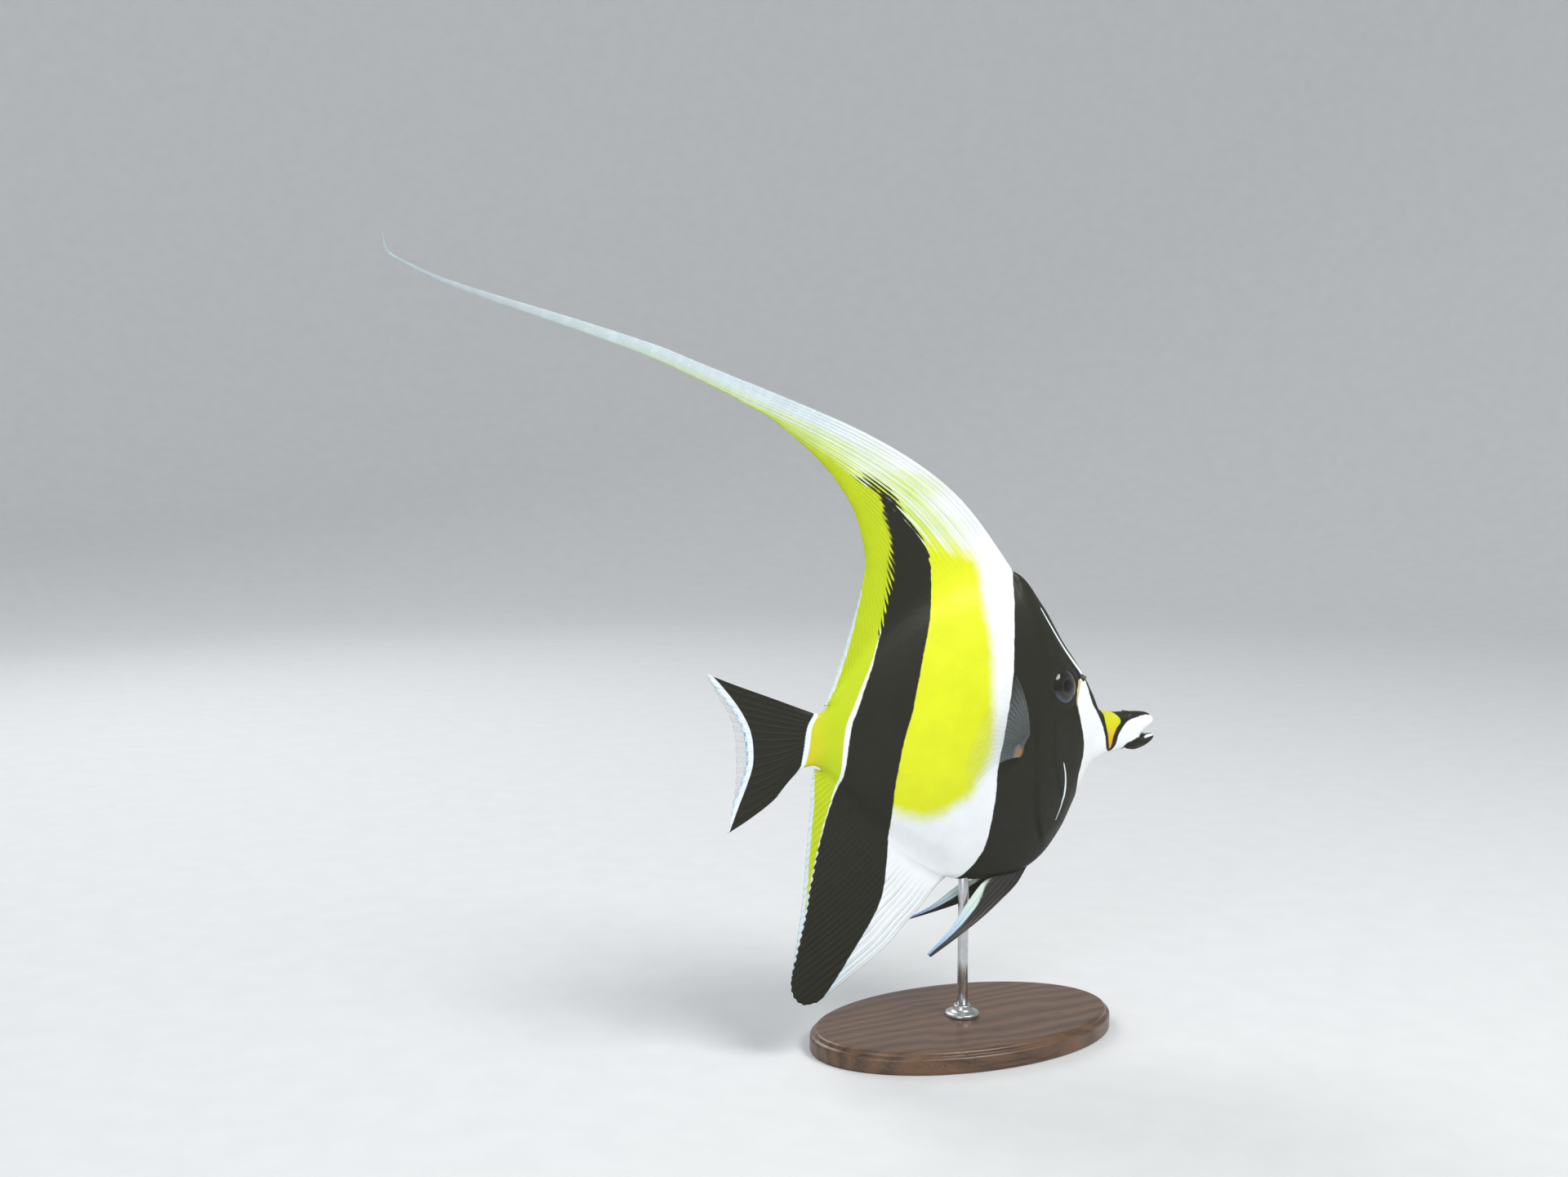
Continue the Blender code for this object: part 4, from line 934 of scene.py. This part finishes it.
def makeEye(side, finish):
    # flattened ball: rings from its outer pole to its inner one
    place, normal = placeOnFlank(*headDetail["eye"], side)
    forward, up, out = axesAt(normal)
    centre = place + out * (eye["proud"] - eye["depth"])
    polar = np.linspace(0, np.pi, eye["rings"] + 2)[1:-1]
    turn = turns(eye["sides"])
    a = np.outer(np.sin(polar), np.cos(turn)) * eye["radius"]
    b = np.outer(np.sin(polar), np.sin(turn)) * eye["radius"]
    c = np.repeat(np.cos(polar)[:, None], eye["sides"], 1) * eye["depth"]
    a, b = np.append(a, [0, 0]), np.append(b, [0, 0])
    c = np.append(c, [eye["depth"], -eye["depth"]])
    points = centre + a[:, None] * forward + b[:, None] * up + c[:, None] * out
    index = ringIndex(eye["rings"], eye["sides"])
    caps = capFaces(index, len(points) - 2, len(points) - 1)[:, ::-1]
    piece = makePiece("eyeball-" + sideNames[side], points, [gridQuads(index), caps], finish)
    writeMark(piece, "away", np.hypot(a, b))
    writeMark(piece, "along", a)
    writeMark(piece, "up", b)
    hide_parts("eye_" + sideNames[side])


eyeLook = eyeFinish()
for side in (-1, 1):
    makeEye(side, eyeLook)


# Horns in front of the eyes

horn = {
    "place": (114.8, 15.6),
    "radius": 1.5,
    "length": 1.5,
    "lean": (0.35, 0.0, 0.10),  # added to the cheek's normal
    "sides": 48,
    "rings": 26,
}


def hornFinish():
    f = Finish("horn")
    up = f.mark("along")
    streaks = f.noise(f.stretched((900.0, 900.0, 240.0)), 1.0, 3.0)
    colour = f.mix(f.fade(up, 0.05, 0.8), (0.020, 0.017, 0.012), (0.11, 0.095, 0.07))
    colour = f.mix(f.times(f.fade(streaks, 0.4, 0.7), 0.4), colour, (0.10, 0.07, 0.04))
    f.set(colour=colour, roughness=f.fade(streaks, 0.2, 0.8, 0.4, 0.6), normal=f.bump(streaks, 0.4, 0.0001))
    return f.material


def makeHorn(side, finish):
    # rings along a curve that leaves the cheek straight and bends forward; radius (1 - s)^0.75
    place, out = placeOnFlank(*horn["place"], side)
    lean = out + np.array(horn["lean"])
    lean /= np.linalg.norm(lean)
    across = np.cross(out, (0, 0, 1))
    across /= np.linalg.norm(across)
    up = np.cross(across, out)
    s = (1 - (1 - np.linspace(0, 1, horn["rings"])) ** 1.4)[:-1]
    s = np.concatenate([[-0.25, -0.12], s])
    turn = turns(horn["sides"])
    ring = np.cos(turn)[:, None] * across + np.sin(turn)[:, None] * up
    k = np.clip(s, 0, 1)
    path = place + (out * (s * (1 - s))[:, None] + lean * (k ** 2)[:, None]) * horn["length"]
    size = horn["radius"] * np.where(s < 0, 1.0, (1 - k) ** 0.75 * (1 - 0.18 * np.sin(np.pi * k)))
    points = path[:, None] + ring[None] * size[:, None, None]
    ends = np.stack([path[0], place + lean * horn["length"]])
    points = np.concatenate([points.reshape(-1, 3), ends])
    index = ringIndex(len(s), horn["sides"])
    caps = capFaces(index, len(points) - 2, len(points) - 1)
    piece = makePiece("horn-" + sideNames[side], points, [gridQuads(index), caps], finish)
    writeMark(piece, "along", np.concatenate([np.repeat(k, horn["sides"]), [0, 1]]))
    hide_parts("horn_" + sideNames[side])


hornLook = hornFinish()
for side in (-1, 1):
    makeHorn(side, hornLook)
print("eyes and horns made")


# Pectoral fins

def pairedFin(kind, side, middle, offset, number, v, finish):
    points, faces = closedPlate(middle, offset)
    piece = makePiece(kind + "-" + sideNames[side], points, faces, finish)
    writeMark(piece, "ray", np.tile(np.repeat(number, len(v)), 2))
    writeMark(piece, "reach", np.tile(v, 2 * len(number)))
    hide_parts(kind + "_fin_" + sideNames[side])


pectoral = {
    "top": (85.6, -4.8),  # ends of the root on the flank
    "low": (83.4, -11.2),
    "first": 22.5,  # directions of the end rays, degrees back from upright
    "last": 91.0,
    "bend": [14.0, 22.0, 26.0, 26.0, 26.0],  # degrees that five rays curve back from root to tip
    "spread": 24.0,  # degrees away from the flank
    "reach": [31.0, 34.0, 37.0, 39.5, 39.0],
    "cup": 2.0,
    "stand": 1.05,  # how far the root's middle stands off the skin
    "rays": 18,
    "rows": 44,
    "rootThickness": 0.6,
    "membrane": 0.13,
    "taper": 0.35,
    "ray": 0.11,
    "rayTaper": 0.6,
    "footEnd": 0.22,
}


def pectoralFinish():
    f = Finish("clear fin")
    ray, reach = f.mark("ray"), f.mark("reach")
    ridge = f.fade(f.forked(ray, reach, 0.35, 0.22), 0.02, 0.13, 1.0, 0.0)
    root = f.fade(reach, 0.16, 0.04)
    colour = f.mix(ridge, (0.34, 0.40, 0.42), (0.46, 0.52, 0.54))
    lowRoot = f.times(f.fade(reach, 0.26, 0.06), f.fade(ray, 9.0, 14.0))
    colour = f.mix(root, colour, (0.025, 0.02, 0.014))
    colour = f.mix(lowRoot, colour, (0.36, 0.21, 0.04))
    alpha = f.fade(ridge, 0.0, 1.0, 0.11, 0.20)
    alpha = f.calc("MAXIMUM", alpha, f.calc("MAXIMUM", root, lowRoot))
    alpha = f.times(alpha, f.fade(reach, 1.0, 0.45, 0.25, 1.0))
    joints = f.fade(f.calc("SINE", f.times(reach, 210.0)), -1.0, -0.2, 0.7, 1.0)
    normal = f.bump(f.times(ridge, joints), 0.9, 0.00012)
    f.set(colour=colour, alpha=alpha, roughness=0.28, normal=normal, coat=0.3, coatRoughness=0.12)
    return f.material


def makePectoral(side, finish):
    # ray directions fan out with the share across and bend back with the share along
    p = pectoral
    share = np.linspace(0, 1, 6 * p["rays"] + 1)
    v = np.linspace(0, 1, p["rows"] + 1)
    bend = smoothRows(np.array(p["bend"])[:, None], share * (len(p["bend"]) - 1))
    angle = np.radians(p["first"] + (p["last"] - p["first"]) * share[:, None] + bend * (v - 0.5))
    length = smoothRows(np.array(p["reach"])[:, None], share * (len(p["reach"]) - 1))
    number = share * p["rays"]
    tips = 1 - 0.016 * (0.5 - 0.5 * np.cos(2 * np.pi * number))[:, None] * step(v, 0.9, 1.0)
    reach = length * v * tips
    spread = math.radians(p["spread"])
    top, normal = placeOnFlank(*p["top"], side)
    low, _ = placeOnFlank(*p["low"], side)
    root = top + (low - top) * share[:, None] + np.array([0, side * p["stand"], 0])
    outwards = side * (math.sin(spread) * reach + p["cup"] * np.sin(np.pi * share)[:, None] * v ** 2)
    backwards = -math.cos(spread) * np.sin(angle) * reach
    middle = root[:, None] + np.stack([backwards, outwards, np.cos(angle) * reach], -1)
    # the root's first rows go into the skin
    sink = -side * 1.9 * step(v, 0.09, 0.0)
    middle[..., 1] += sink[None]
    face = np.array([math.sin(spread), side * math.cos(spread), 0.0])
    blend = np.clip(v / 0.25, 0, 1)[None, :, None]
    facing = normal * (1 - blend) + face * blend
    thick = finThickness(p, number[:, None], v, p["rootThickness"])
    edge = np.minimum(share, 1 - share)[:, None] * 50 * np.maximum(v, 0.15)
    thick = thick * (0.35 + 0.65 * rounded(edge, 1.0)) * (1 - 0.5 * step(v, 0.97, 1.0))
    offset = facing / np.linalg.norm(facing, axis=-1, keepdims=True) * thick[..., None]
    pairedFin("pectoral", side, middle, offset, number, v, finish)


pectoralLook = pectoralFinish()
for side in (-1, 1):
    makePectoral(side, pectoralLook)


# Pelvic fins

pelvic = {
    "lead": [(93.6, -57.0), (89.1, -61.3), (86.0, -64.0), (81.8, -66.8), (71.4, -73.1), (59.8, -78.7),
             (46.8, -84.4)],
    "trail": [(77.5, -60.4), (72.0, -61.5), (65.1, -67.9), (57.4, -76.0), (46.5, -83.8)],
    "rootY": 1.5,
    "splay": 7.5,
    "farLift": 12.5,  # degrees that the left one trails higher
    "rays": 6,
    "rows": 60,
    "rootThickness": 0.85,
    "membrane": 0.2,
    "taper": 0.2,
    "ray": 0.16,
    "rayTaper": 0.5,
    "footEnd": 0.3,
}


def pelvicFinish():
    f = Finish("pelvic fin")
    ray, reach = f.mark("ray"), f.mark("reach")
    ridge = f.fade(f.forked(ray, reach, 0.5, 0.16), 0.02, 0.2, 1.0, 0.0)
    wobble = f.calc("MULTIPLY_ADD", f.noise(f.place(), 300.0, 3.0), 0.5, -0.25)
    colour = f.mix(ridge, (0.014, 0.012, 0.009), (0.030, 0.026, 0.020))
    # pale blue trailing rays, widest halfway along
    edge = f.plus(f.plus(ray, wobble), f.fade(reach, 0.05, 0.45, 0.0, 1.7))
    pale = f.times(f.fade(edge, 5.3, 5.8), f.fade(reach, 0.02, 0.16))
    stripe = f.mix(f.fade(reach, 0.25, 0.85), (0.66, 0.78, 0.68), (0.36, 0.56, 0.80))
    colour = f.mix(pale, colour, stripe)
    normal = f.bump(ridge, 0.9, 0.00016)
    f.set(colour=colour, roughness=0.42, normal=normal, coat=0.2, coatRoughness=0.2)
    return f.material


def makePelvic(side, finish):
    p = pelvic
    share = np.linspace(0, 1, 8 * p["rays"] + 1)
    low = smoothRows(body["stations"], np.linspace(4, 9, 90))
    start = curvePoints([p["lead"][0], p["trail"][0]], share)
    start[:, 1] = np.interp(start[:, 0], low[:, 2], low[:, 3]) + 1.2
    end = curvePoints([p["lead"][-1], p["trail"][-1]], share)
    v = np.linspace(0, 1, p["rows"] + 1)
    flat = fourEdges(start, end, curvePoints([tuple(start[0])] + p["lead"][1:], v),
                     curvePoints([tuple(start[-1])] + p["trail"][1:], v), share, v)
    if side > 0:
        pivot = start.mean(axis=0)
        angle = -np.radians(p["farLift"]) * np.clip(v * 3, 0, 1)
        dx, dz = flat[..., 0] - pivot[0], flat[..., 1] - pivot[1]
        flat = np.stack([pivot[0] + dx * np.cos(angle) - dz * np.sin(angle),
                         pivot[1] + dx * np.sin(angle) + dz * np.cos(angle)], axis=-1)
    drop = np.linalg.norm(flat - flat[:, :1], axis=-1)
    y = side * (p["rootY"] + p["splay"] * drop / drop.max())
    middle = np.stack([flat[..., 0], y, flat[..., 1]], axis=-1)
    number = share * p["rays"]
    thick = finThickness(p, number[:, None], v, p["rootThickness"])
    thick = thick * (0.3 + 0.7 * rounded(np.minimum(share, 1 - share)[:, None], 0.05))
    offset = np.zeros_like(middle)
    offset[..., 1] = thick
    pairedFin("pelvic", side, middle, offset, number, v, finish)


pelvicLook = pelvicFinish()
for side in (-1, 1):
    makePelvic(side, pelvicLook)
print("paired fins made")


# Display stand

stand = {
    # how far in from the rim and how high, from the underside to the top
    "base": [(62.0, 0.0), (30.0, 0.0), (3.0, 0.0), (1.0, 0.0), (0.35, 0.12), (0.05, 0.5), (0.0, 1.0),
             (0.0, 3.0), (0.0, 5.0), (0.06, 5.4), (0.3, 5.85), (0.7, 6.15), (1.2, 6.3), (1.45, 6.42),
             (1.55, 6.7), (1.65, 7.2), (1.95, 7.65), (2.45, 7.92), (3.1, 8.0), (6.0, 8.0), (30.0, 8.0),
             (62.0, 8.0)],
    "half": (62.0, 39.0),
    "foot": [(6.5, 8.0), (3.0, 8.0), (0.35, 8.0), (0.08, 8.12), (0.0, 8.4), (0.0, 9.1), (0.1, 9.4),
             (0.4, 9.6), (1.5, 9.8), (2.3, 10.1), (2.9, 10.6), (3.15, 11.2), (3.2, 11.9), (3.3, 12.2),
             (3.6, 12.3), (5.0, 12.3), (6.5, 12.3)],
    "rod": [(2.0, 12.0), (0.3, 12.0), (0.0, 12.2), (0.0, 30.0), (0.0, 55.0), (0.0, 66.6), (0.3, 67.0),
            (2.0, 67.0)],
}


def turnedPiece(name, profile, half, sides, finish, node):
    # each row (inset, height) is an ellipse that much smaller than the rim; the ends close at the axis
    profile = np.array(profile)
    angle = turns(sides)
    ring = profile[1:-1]
    x = np.maximum(half[0] - ring[:, :1], 0.5) * np.cos(angle)
    y = np.maximum(half[1] - ring[:, :1], 0.5) * np.sin(angle)
    z = np.repeat(ring[:, 1:], sides, axis=1)
    ends = [[0, 0, profile[0, 1]], [0, 0, profile[-1, 1]]]
    points = np.concatenate([np.stack([x, y, z], -1).reshape(-1, 3), ends])
    index = ringIndex(len(ring), sides)
    caps = capFaces(index, len(points) - 2, len(points) - 1)[:, ::-1]
    piece = makePiece(name, points - fishPlace, [gridQuads(index), caps], finish)
    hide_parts(node)


def woodFinish():
    f = Finish("oiled walnut")
    sway = f.node("VectorMath", {0: f.noise(f.place(), 9.0, 2.0), "Scale": 1.6}, operation="SCALE")
    bent = f.node("VectorMath", {0: f.stretched((5.0, 38.0, 38.0)), 1: sway}, operation="ADD")
    rings = f.node("TexWave", {"Vector": bent, "Scale": 1.3, "Distortion": 5.0, "Detail": 3.0,
                               "Detail Scale": 1.6},
                   output=1, bands_direction="Y")
    fibre = f.noise(f.stretched((40.0, 900.0, 900.0)), 1.0, 4.0)
    pores = f.fade(f.noise(f.stretched((130.0, 2600.0, 2600.0)), 1.0, 2.0), 0.60, 0.68)
    colour = f.mix(rings, (0.055, 0.026, 0.012), (0.135, 0.068, 0.032))
    colour = f.mix(f.times(f.fade(fibre, 0.35, 0.7), 0.5), colour, (0.17, 0.09, 0.045))
    colour = f.mix(f.times(pores, 0.75), colour, (0.016, 0.008, 0.004))
    rough = f.fade(fibre, 0.3, 0.7, 0.34, 0.48)
    normal = f.bump(f.minus(f.times(fibre, 0.4), pores), 0.35, 0.00012)
    f.set(colour=colour, roughness=rough, normal=normal, coat=0.3, coatRoughness=0.18)
    return f.material


def steelFinish(name, along):
    # brushed steel: fine scratches that run across the given axes
    f = Finish(name)
    scratch = f.noise(f.stretched(along), 1.0, 5.0, 0.7)
    cloud = f.noise(f.place(), 120.0, 3.0)
    colour = f.mix(f.fade(cloud, 0.3, 0.7), (0.50, 0.51, 0.52), (0.66, 0.67, 0.68))
    rough = f.plus(f.fade(scratch, 0.3, 0.7, 0.20, 0.36), f.fade(cloud, 0.3, 0.7, 0.0, 0.06))
    f.set(colour=colour, metal=1.0, roughness=rough, normal=f.bump(scratch, 0.18, 0.00005))
    return f.material


turnedPiece("oval-base", stand["base"], stand["half"], 180, woodFinish(), "stand_base")
turnedSteel = steelFinish("turned steel", (300.0, 300.0, 9000.0))
turnedPiece("foot-collar", stand["foot"], (6.5, 6.5), 96, turnedSteel, "stand_foot")
drawnSteel = steelFinish("drawn steel", (7000.0, 7000.0, 60.0))
turnedPiece("rod", stand["rod"], (2.0, 2.0), 48, drawnSteel, "stand_rod")
print("stand made")


# Studio

studio = {
    "wallRadius": 2.2,
    "floorColour": (0.74, 0.75, 0.76),
    # name, place, size, watts, colour
    "lamps": [
        ("key", (0.35, -0.75, 1.15), 0.7, 12.5, (1.0, 0.98, 0.95)),
        ("fill", (-1.05, -0.95, 0.55), 1.0, 6.0, (0.93, 0.97, 1.0)),
        ("back", (-0.25, 1.0, 0.9), 0.8, 6.0, (1.0, 1.0, 1.0))],
    "world": (0.86, 0.90, 0.94, 0.55),  # colour and strength
    "camera": (-0.37315, -0.62686, 0.25102),
    "aim": (-0.05791, 0.03661, 0.17084),
    "lens": 45.0,
}


def makeFloor():
    # a flat disc that curves up into a round wall
    sides, radius = 120, studio["wallRadius"]
    bend = np.linspace(0, np.pi / 2, 16)
    rings = [(0.02, 0.0), (0.3, 0.0), (0.8, 0.0), (radius - 0.9, 0.0)]
    rings += [(radius - 0.9 + 0.9 * math.sin(a), 0.9 - 0.9 * math.cos(a)) for a in bend[1:]]
    rings = np.array(rings + [(radius, 2.6)])
    turn = turns(sides)
    points = np.stack([np.outer(rings[:, 0], np.cos(turn)), np.outer(rings[:, 0], np.sin(turn)),
                       np.repeat(rings[:, 1:], sides, 1)], -1).reshape(-1, 3)
    points = np.concatenate([points, [[0, 0, 0]]])
    index = ringIndex(len(rings), sides)
    faces = gridQuads(index).tolist()
    faces += np.stack([index[0, :-1], index[0, 1:], np.full(sides, len(points) - 1)], 1).tolist()
    mesh = bpy.data.meshes.new("floor")
    mesh.from_pydata(points.tolist(), [], faces)
    mesh.shade_smooth()
    f = Finish("pale floor")
    grain = f.noise(f.place(), 60.0, 4.0)
    pale = studio["floorColour"]
    f.set(colour=f.mix(f.fade(grain, 0.3, 0.7), pale, tuple(0.97 * c for c in pale)), roughness=0.75)
    mesh.materials.append(f.material)
    floor = bpy.data.objects.new("floor", mesh)
    bpy.context.scene.collection.objects.link(floor)


def aimed(name, data, place):
    # lamp or camera at a place, turned towards the studio's aim
    holder = bpy.data.objects.new(name, data)
    holder.location = place
    sight = Vector(studio["aim"]) - Vector(place)
    holder.rotation_euler = sight.to_track_quat("-Z", "Y").to_euler()
    bpy.context.scene.collection.objects.link(holder)
    return holder


def makeLights():
    for name, place, size, watts, colour in studio["lamps"]:
        lamp = bpy.data.lights.new(name, "AREA")
        lamp.shape = "DISK"
        lamp.size = size
        lamp.energy = watts
        lamp.color = colour
        aimed(name, lamp, place)
    world = bpy.data.worlds.new("studio")
    world.use_nodes = True
    sky = world.node_tree.nodes["Background"]
    sky.inputs["Color"].default_value = (*studio["world"][:3], 1.0)
    sky.inputs["Strength"].default_value = studio["world"][3]
    bpy.context.scene.world = world


def makeCamera():
    lens = bpy.data.cameras.new("camera")
    lens.lens = studio["lens"]
    lens.sensor_width = 36.0
    lens.sensor_fit = "HORIZONTAL"
    lens.clip_start = 0.01
    bpy.context.scene.camera = aimed("camera", lens, studio["camera"])


makeFloor()
makeLights()
makeCamera()
bpy.context.scene.view_settings.view_transform = "Standard"
print("studio ready")
